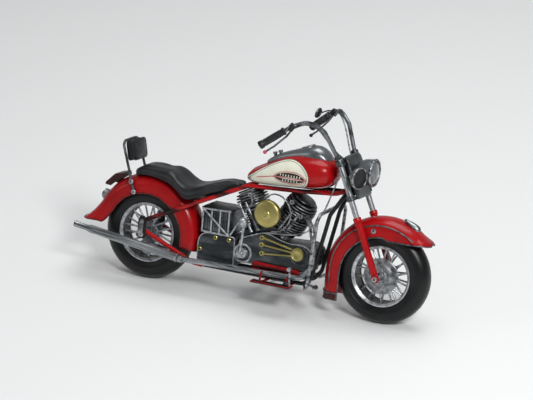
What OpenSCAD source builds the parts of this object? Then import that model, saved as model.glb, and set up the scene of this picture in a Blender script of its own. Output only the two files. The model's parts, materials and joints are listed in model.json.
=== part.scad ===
// Display motorcycle in folded and soldered sheet metal, leaning on its side stand.
// Built upright: X forward, Y to the rider's left, Z up, rear axle over X = 0, then leaned.
// One module per piece. Millimetres.

/* [Stance] */
// distance between the two axles
wheelbase = 250; // [220:1:280]
// lean to the left onto the side stand, degrees
lean = 12; // [6:1:18]
// fork rake from the vertical, degrees
rake = 24; // [18:1:30]

/* [Wheels] */
// outer radius of both tyres
tyre_r = 47; // [42:0.5:52]
// half width of the tyre section
tyre_half = 11; // [9:0.5:12]
// radius where tyre and rim meet
rim_r = 29; // [26:0.5:32]
// radius of the axle rods
axle_r = 1.8; // [1.4:0.1:2.2]
// running clearance of wheel hubs and pivots on their pins
play = 0.06; // [0.02:0.01:0.1]

/* [Body] */
// distance of the frame rails from the middle plane at the rear wheel
rail_y = 18; // [17:0.5:20]
// radius of the frame rails
rail_r = 2.2; // [1.6:0.1:2.6]
// outer half width of both mudguards
guard_half = 15.5; // [14:0.5:17]
// sheet thickness of the mudguards
sheet = 1; // [0.8:0.1:1.4]
// crown radius of the rear mudguard
rear_guard_r = 58; // [55:0.5:61]
// crown radius of the front mudguard
front_guard_r = 57; // [55:0.5:60]

/* [Engine] */
// each cylinder leans from the vertical by this angle
vee = 28; // [25:1:32]
// radius of the cooling fins
fin_r = 16; // [14:0.5:17]
// radius of the air cleaner drum
cleaner_r = 13.5; // [11:0.5:15]

/* [Steering] */
// distance of the fork legs from the middle plane
fork_y = 20.5; // [19:0.5:23]
// radius of the bright upper fork tubes
tube_r = 2.8; // [2.2:0.1:3.2]
// radius of the enamelled lower fork legs
leg_r = 3.3; // [2.9:0.1:3.8]
// radius of the handlebar tube
bar_r = 2.1; // [1.6:0.1:2.6]
// radius of the head lamp
lamp_r = 13.3; // [11:0.5:15]

/* [Hidden] */

red = [0.62, 0.05, 0.04];
dark = [0.20, 0.21, 0.22];
bright = [0.66, 0.67, 0.69];
black = [0.05, 0.05, 0.055];
brass = [0.62, 0.50, 0.24];
cream = [0.90, 0.86, 0.72];
rubber = [0.04, 0.04, 0.045];

// the leaned part is shifted so that its box stands centred on the origin
shift_x = 112.4;
shift_y = 31.5;
tread_r = 11;
hub = tyre_r;
lift = tread_r * (1 - cos(lean));
up = [0, -sin(lean), cos(lean)];
knee = 1.04;

// a straight round rod between two points
module rod(a, b, r) {
  v = b - a;
  len = norm(v);
  translate(a) rotate([0, acos(v[2] / len), atan2(v[1], v[0])]) cylinder(h = len, r = r);
}
// a bent rod through a list of points
module wire(p, r) {
  for (i = [0:len(p) - 2]) rod(p[i], p[i + 1], r);
  for (i = [1:len(p) - 2]) translate(p[i]) sphere(r = r * knee);
}
module both() { children(); mirror([0, 1, 0]) children(); }
module stance() translate([-shift_x, -shift_y, lift]) rotate([-lean, 0, 0]) children();
// a round bar across the machine from y0 to y1
module across(x, z, r, y0, y1) translate([x, y1, z]) rotate([90, 0, 0]) cylinder(h = y1 - y0, r = r);
// a flat plate in the side view between y0 and y1
module plate(p, y0, y1) translate([0, y1, 0]) rotate([90, 0, 0]) linear_extrude(y1 - y0) polygon(p);
// turn a profile drawn in the XY plane about the Y axis of a wheel at x
module spin(x, a0 = 0, a1 = 360) translate([x, 0, hub]) rotate([90, 0, 0]) rotate([0, 0, a0])
  rotate_extrude(angle = a1 - a0) children();
// steering frame: origin on the front axle, Z up along the fork
module fork() translate([wheelbase - 1, 0, hub]) rotate([0, -rake, 0]) children();
module eye(x, z, r, hole, y0, y1) difference() {
  across(x, z, r, y0, y1);
  across(x, z, hole, y0 - 1, y1 + 1);
}

// ---------- frame ----------
dropout_x = 0;
rail_top = [[2, rail_y, 61.5], [60, 17.8, 90], [108, 14, 113], [160, 12, 115.8], [196, 8, 118.5],
  [205, 3, 121.5]];
rail_low = [[2, rail_y, 50.5], [56, rail_y, 28], [66, 14, 26]];
module frame_rails() color(red) stance() both() {
  wire(rail_top, rail_r);
  wire(rail_low, rail_r);
}

drop_half = 4.4;
module dropout_plates() color(black) stance() both() difference() {
  plate([[-drop_half, 43], [drop_half, 43], [drop_half, 60], [2.5, 66], [-2.5, 66],
    [-drop_half, 60]], 20.4, 21.6);
  across(dropout_x, hub, axle_r, 20, 22);
}

stem_x = -6;
stem_r = 2.5;
head_r = 4.5;
head_s0 = 84;
head_s1 = 111;
stand_at = [112, 20, 25];
stand_axis = [0.19, 0.457, 0.865] / norm([0.19, 0.457, 0.865]);
module frame_cradle() color(black) stance() {
  difference() {
    union() {
      fork() translate([stem_x, 0, head_s0]) cylinder(h = head_s1 - head_s0, r = head_r);
      both() wire([[206, 3, 121], [194, 12, 98], [181, 12, 36], [173, 12, 26], [66, 12, 26]], 2);
    }
    fork() translate([stem_x, 0, head_s0 - 5]) cylinder(h = head_s1 - head_s0 + 10,
      r = stem_r + play);
  }
  rod([112, 13, 25], stand_at - stand_axis * 3.4, 1.7);
  rod(stand_at - stand_axis * 3.4, stand_at + stand_axis * 2.6, 1.5);
  for (s = [-2.6, 1.7]) rod(stand_at + stand_axis * s, stand_at + stand_axis * (s + 0.9), 2.6);
}

crash_pts = [[191, 29, 101], [190.5, 35.5, 95], [188.5, 36, 62], [185, 33, 31], [179, 12, 29.6]];
module crash_bars() color(bright) stance() {
  both() wire(concat([[191, 4, 101.5]], crash_pts), 1.5);
  rod([191, -5, 101.5], [191, 5, 101.5], 1.9);
}

// ---------- tank and console ----------
module tank_shape(d) hull() both() {
  translate([109, 6, 121.8]) sphere(r = 6.8 + d, $fn = 28);
  translate([149, 10, 135]) sphere(r = 12.5 + d, $fn = 28);
  translate([150, 13, 127]) sphere(r = 8.5 + d, $fn = 28);
  translate([182, 9, 138]) sphere(r = 11.5 + d, $fn = 28);
  translate([186, 12, 130]) sphere(r = 7 + d, $fn = 28);
}
module fuel_tank() color(red) stance() tank_shape(0);

// side outline of the light panel, tip to the rear
panel = [[103, 119.4], [110, 125], [120, 132], [131, 138.6], [142, 143.8], [151, 146],
  [159, 145.3], [166.5, 141.5], [171.5, 135], [172, 128.5], [169, 123], [163.5, 119.6],
  [153, 118.2], [138, 117.2], [122, 116.6], [110, 117]];
module tank_panels() color(cream) stance() both() intersection() {
  difference() {
    tank_shape(0.5);
    tank_shape(0.02);
  }
  plate(panel, 9, 26);
}

badge = [[137, 128.2], [141, 131.4], [149, 133.8], [159, 134.3], [166, 132], [169.3, 129.6],
  [166, 126.6], [158, 124.6], [148, 124.6], [140, 126.3]];
module tank_badges() color(dark) stance() both() intersection() {
  difference() {
    tank_shape(1.2);
    tank_shape(0.52);
  }
  plate(badge, 14, 26);
}

console = [[121, 137], [138, 146.5], [156, 151.5], [164, 155.5], [172, 155.5], [180, 151],
  [187, 145], [186, 140], [150, 138]];
module dash_console() color(dark) stance() {
  intersection() {
    difference() {
      plate(console, -6, 6);
      tank_shape(0.02);
    }
    union() {
      translate([167, 0, 130]) cylinder(h = 40, r = 21);
      rod([120, 0, 141], [160, 0, 150], 6.5);
    }
  }
  translate([168, 0, 153]) rotate([0, -10, 0]) {
    cylinder(h = 4.6, r = 7.6);
    translate([0, 0, 0.2]) intersection() {
      sphere(r = 8.4);
      cylinder(h = 9, r = 6.8);
    }
  }
  for (x = [130, 135]) translate([x, 0, 140.6 + (x - 130) * 0.5]) rotate([0, -24, 0])
    cylinder(h = 5.6, r = 2);
}

// ---------- seat and rear bodywork ----------
module pad(p, r) translate(p) sphere(r = r, $fn = 32);
module saddle() color(black) stance() difference() {
  union() {
    hull() both() {
      pad([-12, 8, 107], 5);
      pad([20, 13, 108.2], 6);
      pad([20, 13, 101], 5);
      pad([-12, 8, 104], 4.6);
    }
    hull() both() {
      pad([20, 13, 108.2], 6);
      pad([20, 13, 101], 5);
      pad([38, 17, 96.5], 6);
      pad([38, 16, 92], 5);
    }
    hull() both() {
      pad([38, 17, 96.5], 6);
      pad([38, 16, 92], 5);
      pad([51, 18, 97], 6.3);
      pad([70, 14, 104.6], 5.2);
      pad([46, 15, 92.4], 4.6);
    }
    hull() both() {
      pad([70, 14, 104.6], 5.2);
      pad([92, 6, 109.6], 4.2);
    }
  }
  across(0, hub, rear_guard_r + 0.4, -40, 40);
}

// one ring of a folded mudguard: depth below the crown and side offset, skirts to depth e
bow = 0.62;
steps = 12;
function ring(w, e) = let (b = min(w * bow, e - 0.4)) concat(
  [[-e, -w]], [for (i = [0:steps]) [b * (sin(180 * i / steps) - 1), -w * cos(180 * i / steps)]],
  [[-e, w]], [[-e, w - sheet]],
  [for (i = [steps:-1:0]) [(b - sheet) * sin(180 * i / steps) - b,
    (sheet - w) * cos(180 * i / steps)]],
  [[-e, sheet - w]]);
// the two ends are closed between the outer and the inner line
function cap(n, m, flip) = [for (k = [0:n / 2 - 2], f = [0, 1])
  let (t = f == 0 ? [k, k + 1, n - 2 - k] : [k, n - 2 - k, n - 1 - k])
  [for (j = [0:2]) m + t[flip ? 2 - j : j]]];
// stations [x, z, angle of the inward face, skirt depth, half width] joined into one shell
module shell(st) {
  n = len(ring(1, 1));
  polyhedron(points = [for (q = st, p = ring(q[4], q[3]))
      [q[0] + p[0] * cos(q[2]), p[1], q[1] + p[0] * sin(q[2])]],
    faces = concat(cap(n, 0, true),
      [for (i = [0:len(st) - 2], k = [0:n - 1]) for (f = [0, 1]) f == 0
        ? [i * n + k, i * n + (k + 1) % n, (i + 1) * n + k]
        : [i * n + (k + 1) % n, (i + 1) * n + (k + 1) % n, (i + 1) * n + k]],
      cap(n, (len(st) - 1) * n, false)));
}
tail_a = 146;
rear_skirt = 18;
// the tail runs straight off the circle, kicks up a little and is cut level
tail = [[37, 3.8, 181, 19.5], [33, 2.4, 172, 19], [28, 1.2, 162, 18.5], [20, 0, 152, 18],
  [10, -0.4, 147, 18]];
rear_guard_st = concat(
  [for (q = tail) [rear_guard_r * cos(tail_a) - q[0] * sin(tail_a) + q[1] * cos(tail_a),
    hub + rear_guard_r * sin(tail_a) + q[0] * cos(tail_a) + q[1] * sin(tail_a), q[2], q[3],
    guard_half]],
  [for (a = [tail_a:-8:-14]) [rear_guard_r * cos(a), hub + rear_guard_r * sin(a), a, rear_skirt,
    guard_half]]);
module rear_mudguard() color(red) stance() shell(rear_guard_st);

module tail_plate() color(red) stance() difference() {
  plate([[-50, 87.5], [-49.5, 90], [-40, 99.6], [-31, 101.8], [-29.5, 98.4], [-36, 94], [-44, 87]],
    -8.5, 8.5);
  plate([[-47, 87], [-40, 97.2], [-30, 99.8], [-28, 90], [-44, 82]], -7.5, 7.5);
}

module tail_lamp() color(bright) stance() difference() {
  union() {
    translate([-45, 0, 75]) rotate([0, -90, 0]) cylinder(h = 10, r = 5.4);
    translate([-51, 0, 75]) intersection() {
      sphere(r = 6.4);
      translate([-20, 0, 0]) rotate([0, 90, 0]) cylinder(h = 16.2, r = 5);
    }
  }
  across(0, hub, rear_guard_r, -20, 20);
}

pad_tilt = -12;
module backrest_pad() color(black) stance() translate([-22, 0, 126.5]) rotate([0, pad_tilt, 0])
  difference() {
    translate([-3.4, -15, -10]) cube([6.8, 30, 20]);
    for (s = [-1, 1], t = [-1, 1]) translate([-5, s * 12, t * 7]) rotate([0, 90, 0]) difference() {
      translate([-t * 2 - 2, s * 2 - 2, 0]) cube([4, 4, 10]);
      cylinder(h = 12, r = 3);
    }
  }

bar_pts = [[-13.5, 17, 87], [-17, 17, 97], [-28.6, 16.6, 132], [-29.6, 12, 135.4],
  [-29.6, -0.5, 135.6]];
module backrest_bar() color(dark) stance() {
  both() {
    wire(bar_pts, 1.3);
    across(-17, 97, 2.3, 16, 19.4);
    across(-13.5, 87, 2.3, 15.6, 19.4);
  }
}

// ---------- boxes behind the engine ----------
module battery_box() color(dark) stance() translate([61.5, -15.5, 60]) cube([31, 31, 25]);

cage_y = -16.6;
module battery_cage() color(bright) stance() {
  rod([62, cage_y, 83.4], [93, cage_y, 84.6], 1.1);
  for (x = [63, 72.5, 81.5, 91]) rod([x, cage_y, 60.4], [x, cage_y, 84], 1);
  rod([64, cage_y - 1, 83], [91, cage_y - 1, 61.6], 0.9);
  rod([101, cage_y, 75], [93.6, cage_y, 61.5], 1);
}

module gearbox_cover() color(dark) stance() {
  translate([62, -14, 31]) cube([38, 28, 28]);
  plate([[60, 30], [99, 30], [99, 60], [68, 60], [62.5, 57], [60, 51]], -17, -13.9);
}

// ---------- engine ----------
crank = [132.5, 0, 50];
barrel_from = 24;
barrel_r = 11;
module crankcase() color(dark) stance() difference() {
  union() {
    translate([101, -13.9, 36]) cube([76, 27.8, 27]);
    translate([118, -9, 27]) cube([47, 18, 9.1]);
    across(crank[0], 63, 15, -11.5, 11.5);
  }
  for (s = [-1, 1]) translate(crank) rotate([0, s * vee, 0]) translate([0, 0, barrel_from])
    cylinder(h = 20, r = barrel_r);
}

fin_pitch = 2.7;
fin_t = 1.2;
fins_from = 30.6;
fin_n = 7;
function fin_pts(n) = [for (i = [0:n - 1]) for (k = [0:3])
  [k == 0 || k == 3 ? barrel_r : fin_r, fins_from + i * fin_pitch + (k > 1 ? fin_t : 0)]];
module barrel() {
  rotate_extrude() polygon(concat([[0, barrel_from], [barrel_r, barrel_from]], fin_pts(fin_n),
    [[barrel_r, 50.5], [14.6, 50.5], [14.6, 52], [12.5, 52], [12.5, 53.4], [14.6, 53.4],
    [14.6, 55], [12.5, 55], [12.5, 56.4], [14, 56.4], [14, 58], [11, 58], [11, 63],
    [9.5, 64.6], [0, 64.6]]));
}
module rear_cylinder() color(dark) stance() translate(crank) rotate([0, -vee, 0]) {
  barrel();
  translate([-4, -9, 60.5]) rotate([90, 0, 0]) cylinder(h = 7, r = 2.4);
}
module front_cylinder() color(dark) stance() translate(crank) rotate([0, vee, 0]) {
  barrel();
  translate([4, -9, 60.5]) rotate([90, 0, 0]) cylinder(h = 7, r = 2.4);
}

push_y = -17.5;
push_foot = [71.5, 68.5];
module pushrods() color(bright) stance() for (s = [-1, 1], k = [0, 1])
  rod([crank[0] + s * (9 + 7 * k), push_y, push_foot[k]],
    [crank[0] + s * (25 + 6 * k), push_y, 97 - 3 * k], 1.2);

module engine_wires() color(black) stance() {
  wire([[199, -13, 133], [193, -17, 113], [186, -18.5, 96], [176, -20, 79.6], [166, -20, 75],
    [152, -19.9, 71.5]], 0.8);
  wire([[133, -19, 106.5], [139, -19.8, 110], [147, -19.8, 109], [155, -19.9, 100],
    [156, -19.9, 90], [151, -19.9, 80], [146, -19.9, 73]], 0.8);
  wire([[108, -17, 88], [113, -18.5, 92], [116, -18.5, 99], [112, -17, 103]], 0.8);
}

cleaner_at = [134, 91];
module air_cleaner() color(brass) stance() {
  across(cleaner_at[0], cleaner_at[1], cleaner_r, -26, -20.5);
  across(cleaner_at[0], cleaner_at[1], cleaner_r - 1.4, -27.2, -25.9);
  across(cleaner_at[0], cleaner_at[1], 4.4, -29.4, -27.1);
  across(cleaner_at[0], cleaner_at[1], 5, -20.6, -16.4);
  across(crank[0], cleaner_at[1] - 2, 2, -16.5, 4);
}

cam_outline = [[105, 61], [114, 65], [123, 68.6], [129, 70.6], [137, 70], [146, 68], [157, 66],
  [172, 66.5], [179, 62.5], [182, 57], [182, 48], [179, 41], [173, 36.6], [149, 37.5], [107, 37.5]];
module cam_cover() color(dark) stance() {
  plate(cam_outline, -18, -14);
  across(kick_at[0], kick_at[1], 9.5, -19.2, -17.9);
  across(kick_at[0], kick_at[1], 4.5, -21.4, -19.1);
  across(kick_at[0], kick_at[1], 1.5, -27.6, -21.3);
  across(kick_at[0], kick_at[1], 2.6, -27.8, -26.9);
}

points_at = [167, 55.5];
module points_cover() color(brass) stance() {
  across(points_at[0], points_at[1], 6.6, -20.6, -18);
  across(points_at[0], points_at[1], 4.6, -21.4, -20.5);
}

rod_ends = [[129, 66, 160, 60.5], [129, 59, 159.6, 57], [130, 50.5, 160, 54]];
module cam_rods() color(brass) stance() for (e = rod_ends) {
  rod([e[0], -20.4, e[1]], [e[2], -20.4, e[3]], 1.2);
  eye(e[0], e[1], 2.6, 1, -22, -18);
}

module primary_cover() color(dark) stance() {
  plate([[96, 40], [103, 34], [172, 36], [181, 43], [182, 56], [174, 63], [104, 59], [96, 53]],
    14, 19);
  across(166, 50, 8, 18.9, 20.6);
  across(108, 47, 6.5, 18.9, 20.6);
}

rivet_at = [[78.5, 56.5, -17], [62.8, 43, -17], [93, 56.5, -17]];
module rivets() color(brass) stance() for (p = rivet_at) eye(p[0], p[1], 2, 0.9, p[2] - 1.6, p[2]);

// ---------- underneath ----------
module belly_plate() color(red) stance() {
  translate([121, -21, 33.5]) cube([48, 2.6, 2.6]);
  translate([132.5, -21, 26]) cube([4, 2.6, 7.6]);
  translate([160.5, -21, 26]) cube([4, 2.6, 7.6]);
}

module footboards() color(red) stance() both() {
  translate([127, 26, 24]) cube([41, 15, 2]);
  for (x = [136, 162]) rod([x, 13, 25.4], [x, 30, 25.4], 1.6);
}

module foot_levers() color(bright) stance() {
  wire([[174, -13, 24.6], [180, -25, 24], [187, -31, 31], [193, -31, 30]], 1.2);
  across(193, 30, 2.4, -35, -29);
  rod([166, -31, 26], [165, -31, 43], 1.2);
  across(165, 43, 2, -34, -28.5);
}

pipe_pts = [[168, -8, 92], [177, -15, 84], [183.5, -20.5, 66], [183.5, -21.5, 46],
  [174, -24, 33.8], [47, -26, 31]];
module exhaust_pipe() color(bright) stance() {
  wire(pipe_pts, 2.6);
  rod([48.5, -26, 31], [43.4, -26, 31.2], 3.5);
}

module muffler() color(bright) stance() {
  rod([43.4, -26, 31.5], [-58, -26, 44.6], 4.1);
  rod([-57, -26, 44.47], [-72, -26, 46.4], 3);
}

module rear_brake() color(bright) stance() {
  across(5, 35, 8.6, -14.8, -13.4);
  across(5, 35, 3, -16.6, -14.7);
  rod([6, -15.6, 38], [26, -15.6, 36], 1.3);
}

module rear_axle() color(dark) stance() difference() {
  union() {
    across(0, hub, axle_r, -23, 23);
    across(0, hub, 2.6, -23.4, -21.65);
    across(0, hub, 2.6, 21.65, 23.4);
  }
  across(0, hub, 1, -24, 24);
}

stand_foot = [120, 46, 9.53];
module side_stand() color(dark) stance() {
  difference() {
    union() {
      rod(stand_at - stand_axis * 1.3, stand_at + stand_axis * 1.3, 3.4);
      rod(stand_at + [0.6, 2, -1.2], stand_foot + [0, 0, 1.2], 1.5);
      rod(stand_foot, stand_foot + up * 1.5, 4);
    }
    rod(stand_at - stand_axis * 6, stand_at + stand_axis * 6, 1.5 + play);
  }
}

kick_at = [109, 46.5];
module kick_crank() color(dark) stance() difference() {
  union() {
    rod([109, -25.2, 47], [111, -25.2, 76], 1.4);
    across(kick_at[0], kick_at[1], 3.4, -26.6, -24);
    across(111, 79, 4.7, -31.5, -24);
  }
  across(kick_at[0], kick_at[1], 1.5 + play, -28, -22);
}

// ---------- wheels ----------
module tyre(x) spin(x) difference() {
  translate([tyre_r - tyre_half, 0]) circle(r = tyre_half);
  translate([0, -20]) square([rim_r, 40]);
}
rim_half = 9.4;
module rim(x) spin(x) polygon([[rim_r, -rim_half], [rim_r, rim_half], [26.6, rim_half],
  [26.6, 8], [27.4, 7.4], [27.4, -7.4], [26.6, -8], [26.6, -rim_half]]);
spoke_r = 0.7;
vees = 7;
flange_y = 5.4;
module spokes(x, spread, flange) for (s = [-1, 1], i = [0:vees - 1], k = [-1, 1]) {
  a = (i + (s > 0 ? 0.5 : 0)) * 360 / vees + k * 4;
  b = a + k * spread;
  translate([x, 0, hub]) rod([flange * cos(a), s * (flange_y + 1.4 * k), flange * sin(a)],
    [27.4 * cos(b), s * (3 + k), 27.4 * sin(b)], spoke_r);
}
module hub_shell(x) difference() {
  union() {
    across(x, hub, 4, -12, 12);
    across(x, hub, 9.6, flange_y - 0.9, flange_y + 0.9);
    across(x, hub, 9.6, -flange_y - 0.9, 0.9 - flange_y);
  }
  across(x, hub, axle_r + play, -30, 30);
}

module rear_tyre() color(rubber) stance() tyre(0);
module rear_rim() color(bright) stance() rim(0);
module rear_spokes() color(bright) stance() spokes(0, 14, 9);
module rear_hub() color(dark) stance() hub_shell(0);
module front_tyre() color(rubber) stance() tyre(wheelbase);
module front_rim() color(bright) stance() rim(wheelbase);
module front_spokes() color(bright) stance() spokes(wheelbase, 11, 9);
module front_hub() color(dark) stance() hub_shell(wheelbase);
module front_disc() color(bright) stance() difference() {
  union() {
    across(wheelbase, hub, 17.6, -9, -7.6);
    across(wheelbase, hub, 11, -10.4, -8.9);
  }
  across(wheelbase, hub, 4, -12, -6);
  for (i = [0:4]) across(wheelbase + 7.6 * cos(72 * i), hub + 7.6 * sin(72 * i), 1.5, -12, -6);
}

// ---------- steering ----------
module front_axle() color(bright) stance() difference() {
  union() {
    across(wheelbase, hub, axle_r, -26.5, 26.5);
    across(wheelbase, hub, 2.6, -27, -24.4);
    across(wheelbase, hub, 2.6, 24.4, 27);
  }
  across(wheelbase, hub, 1, -28, 28);
}

yoke_t = 2.4;
yoke_low = 79;
yoke_top = 113;
module yoke() linear_extrude(yoke_t) difference() {
  union() {
    polygon([[-9.6, -3.2], [-6, -7.4], [-2.6, -fork_y - 3], [3.6, -fork_y - 3],
      [3.6, fork_y + 3], [-2.6, fork_y + 3], [-6, 7.4], [-9.6, 3.2]]);
    for (s = [-1, 1]) translate([0, s * fork_y]) circle(r = 4.2);
  }
  for (s = [-1, 1]) translate([0, s * fork_y]) circle(r = tube_r);
}
module fork_yokes() color(dark) stance() fork() {
  translate([0, 0, yoke_low]) yoke();
  translate([0, 0, yoke_top]) yoke();
  translate([stem_x, 0, yoke_low + 1]) cylinder(h = yoke_top - yoke_low, r = stem_r);
}

leg_top = 60;
tube_top = 118;
module fork_tubes() color(bright) stance() fork() both()
  translate([0, fork_y, leg_top]) cylinder(h = tube_top - leg_top, r = tube_r);

module fork_legs() color(red) stance() difference() {
  fork() both() {
    translate([0, fork_y, -3.5]) cylinder(h = leg_top + 3.5, r = leg_r);
    translate([0, fork_y, leg_top - 4]) cylinder(h = 4, r = leg_r + 0.6);
  }
  across(wheelbase, hub, axle_r, -30, 30);
}

module fork_cover() color(dark) stance() fork() {
  translate([3.7, -15.5, 77]) cube([3, 31, 40]);
  translate([6.6, -13.5, 84]) cube([2, 27, 36]);
}

lamp_at = [230.5, 0, 143];
module headlamp() color(dark) stance() difference() {
  lamp_shell();
  fork() translate([0, -14, 77]) cube([8.65, 28, 50]);
}
module lamp_shell() {
  difference() {
    translate(lamp_at) rotate([0, -90, 0]) cylinder(h = 8, r = lamp_r);
    translate(lamp_at + [1, 0, 0]) rotate([0, -90, 0]) cylinder(h = 3, r = lamp_r - 1.6);
  }
  translate(lamp_at - [7.9, 0, 0]) intersection() {
    sphere(r = lamp_r * 0.98);
    rotate([0, -90, 0]) cylinder(h = lamp_r * 0.82, r = lamp_r * 0.97);
  }
}
module headlamp_lens() color([0.85, 0.88, 0.9, 0.5]) stance() intersection() {
  translate(lamp_at - [19, 0, 0]) sphere(r = 22);
  translate(lamp_at - [1.9, 0, 0]) rotate([0, 90, 0]) cylinder(h = 8, r = lamp_r - 1.65);
}

horn_at = [226, -26, 141];
module horn() color(bright) stance() translate(horn_at) rotate([0, 0, -19]) rotate([0, 90, 0]) {
  difference() {
    translate([0, 0, -4.4]) cylinder(h = 5, r = 10.3);
    translate([0, 0, -0.8]) cylinder(h = 3, r = 8.6);
  }
  translate([0, 0, -0.9]) cylinder(h = 1.2, r = 3.2);
  translate([0, 0, -12]) cylinder(h = 7.7, r = 2);
}

front_skirt = 18.5;
lip_z = 36.5;
front_nose = [[291.5, 87.6, 50, 5, 13.6], [295, 86, 58, 3.4, 9], [297.2, 85, 62, 2.6, 4]];
front_guard_st = concat(
  [for (z = [17, 24, 35]) [wheelbase - front_guard_r - 1.6, z, 180, front_skirt - 0.5, guard_half]],
  [for (a = [180:-9:90]) let (r = front_guard_r + 1.6 * max(0, (a - 140) / 40))
    [wheelbase + r * cos(a), hub + r * sin(a), a, front_skirt, guard_half]],
  [for (a = [82, 74, 66, 58, 51]) [wheelbase + front_guard_r * cos(a), hub + front_guard_r * sin(a),
    a, front_guard_r - lip_z / sin(a), guard_half]], front_nose);
module front_mudguard() color(red) stance() {
  shell(front_guard_st);
  both() across(239, 91.5, 2.4, guard_half - 0.5, fork_y - leg_r + 0.35);
}

bib_r = 50.2;
module guard_bead() color(bright) stance() both() translate([wheelbase, guard_half + 0.7, hub])
  rotate([90, 0, 0]) rotate([0, 0, 52]) rotate_extrude(angle = 128) translate([bib_r, 0])
  circle(r = 0.8);

module guard_lamp() color(bright) stance() translate([274, 0, 98.6]) rotate([0, 34, 0])
  intersection() {
    translate([-9, -4, 0.6]) cube([18, 8, 8]);
    translate([0, 0, -16]) rotate([90, 0, 0]) translate([0, 0, -5]) cylinder(h = 10, r = 19);
    translate([0, 0, -6]) cylinder(h = 12, r = 8.6);
  }

grip_a = [160, 53.6, 182.6];
grip_b = [138, 61.4, 165.4];
grip_v = (grip_b - grip_a) / norm(grip_b - grip_a);
bar_path = [[200.6, 20.5, 154.4], [188, 30, 180.5], [180, 35, 187], [173, 42, 189],
  [165.5, 50, 186], grip_a, grip_b];
module handlebar() color(bright) stance() both() wire(bar_path, bar_r);

grip_r = 3.4;
module hand_grips() color(black) stance() both() difference() {
  rod(grip_a + grip_v * 3.5, grip_b + grip_v * 2.5, grip_r);
  rod(grip_a, grip_b, bar_r);
}

module hand_levers() color(dark) stance() {
  both() {
    translate([163, 51.8, 184.4]) rotate([0, 38, 0]) cube([4.4, 6.4, 6.4], center = true);
    wire([[163, 50.4, 182], [158, 49.8, 174.8], [140, 55, 158]], 1);
    translate([139.4, 55.1, 157.4]) sphere(r = 1.9);
  }
  rod([162, 54, 185.5], [148, 58.4, 181], 0.7);
  translate([143.6, 59, 180]) rotate([0, 18, 0]) rotate([90, 0, 0]) cylinder(h = 1.4, r = 5.2);
}

frame_rails();
dropout_plates();
frame_cradle();
crash_bars();
fuel_tank();
tank_panels();
tank_badges();
dash_console();
saddle();
rear_mudguard();
tail_plate();
tail_lamp();
backrest_pad();
backrest_bar();
battery_box();
battery_cage();
gearbox_cover();
crankcase();
rear_cylinder();
front_cylinder();
pushrods();
engine_wires();
air_cleaner();
cam_cover();
points_cover();
cam_rods();
primary_cover();
rivets();
belly_plate();
footboards();
foot_levers();
exhaust_pipe();
muffler();
rear_brake();
rear_axle();
side_stand();
kick_crank();
rear_tyre();
rear_rim();
rear_spokes();
rear_hub();
front_tyre();
front_rim();
front_spokes();
front_hub();
front_disc();
front_axle();
fork_yokes();
fork_tubes();
fork_legs();
fork_cover();
headlamp();
headlamp_lens();
horn();
front_mudguard();
guard_bead();
guard_lamp();
handlebar();
hand_grips();
hand_levers();
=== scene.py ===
import json
import math
import bmesh
import bpy
from mathutils import Matrix, Vector


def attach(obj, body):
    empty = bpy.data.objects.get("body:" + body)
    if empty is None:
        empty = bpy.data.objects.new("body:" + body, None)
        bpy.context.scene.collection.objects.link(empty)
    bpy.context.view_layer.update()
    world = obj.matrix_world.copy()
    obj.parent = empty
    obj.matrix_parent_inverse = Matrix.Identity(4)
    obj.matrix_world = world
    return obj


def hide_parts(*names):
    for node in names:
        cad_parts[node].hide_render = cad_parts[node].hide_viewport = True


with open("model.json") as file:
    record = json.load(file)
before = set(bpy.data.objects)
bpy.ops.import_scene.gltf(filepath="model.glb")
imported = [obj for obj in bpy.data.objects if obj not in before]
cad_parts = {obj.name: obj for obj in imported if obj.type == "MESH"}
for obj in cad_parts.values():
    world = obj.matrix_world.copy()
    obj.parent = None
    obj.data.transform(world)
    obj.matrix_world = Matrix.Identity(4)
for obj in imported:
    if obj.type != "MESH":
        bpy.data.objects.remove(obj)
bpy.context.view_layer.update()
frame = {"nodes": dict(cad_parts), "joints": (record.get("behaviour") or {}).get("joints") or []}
scene = bpy.context.scene

# ---------- stance ----------
# The model was laid out upright in millimetres: x forward, y to the left, z up from the ground,
# rear axle over x = 0. The two axles in the frame give the lean that brings it onto its stand.
joints = {j["name"]: j for j in frame["joints"]}
rear_axle_at = Vector(joints["rear_wheel_spin"]["pos_m"]) * 1000
front_axle_at = Vector(joints["front_wheel_spin"]["pos_m"]) * 1000
across = Vector(joints["rear_wheel_spin"]["axis"]).normalized()
forward = (front_axle_at - rear_axle_at).normalized()
upward = forward.cross(across)
wheelbase = (front_axle_at - rear_axle_at).length
hub = 47.0
lean = Matrix((forward, across, upward)).transposed()
stance = Matrix.Scale(0.001, 4) @ (
    Matrix.Translation(rear_axle_at) @ lean.to_4x4() @ Matrix.Translation((0, 0, -hub)))

# ---------- camera ----------
# A long lens from the front right of the machine, a little above it and rolled a few degrees.
view_target = Vector((0.486 * wheelbase, 0, 98.5))
view_turn, view_rise, view_roll = math.radians(23.3), math.radians(12.6), math.radians(4.9)
view_angle = math.radians(12)
view_distance = 2458
view_back = Vector((math.sin(view_turn) * math.cos(view_rise),
                    -math.cos(view_turn) * math.cos(view_rise), math.sin(view_rise)))
view_right = Vector((math.cos(view_turn), math.sin(view_turn), 0))
view_up = view_back.cross(view_right)
right = view_right * math.cos(view_roll) + view_up * math.sin(view_roll)
up = view_up * math.cos(view_roll) - view_right * math.sin(view_roll)
camera_data = bpy.data.cameras.new("camera")
camera_data.angle = view_angle
camera_data.clip_end = 50
camera = bpy.data.objects.new("camera", camera_data)
camera.matrix_world = Matrix.Translation(stance @ (view_target + view_back * view_distance)) @ (
    lean @ Matrix((right, up, view_back)).transposed()).to_4x4()
scene.collection.objects.link(camera)
scene.camera = camera


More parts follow.
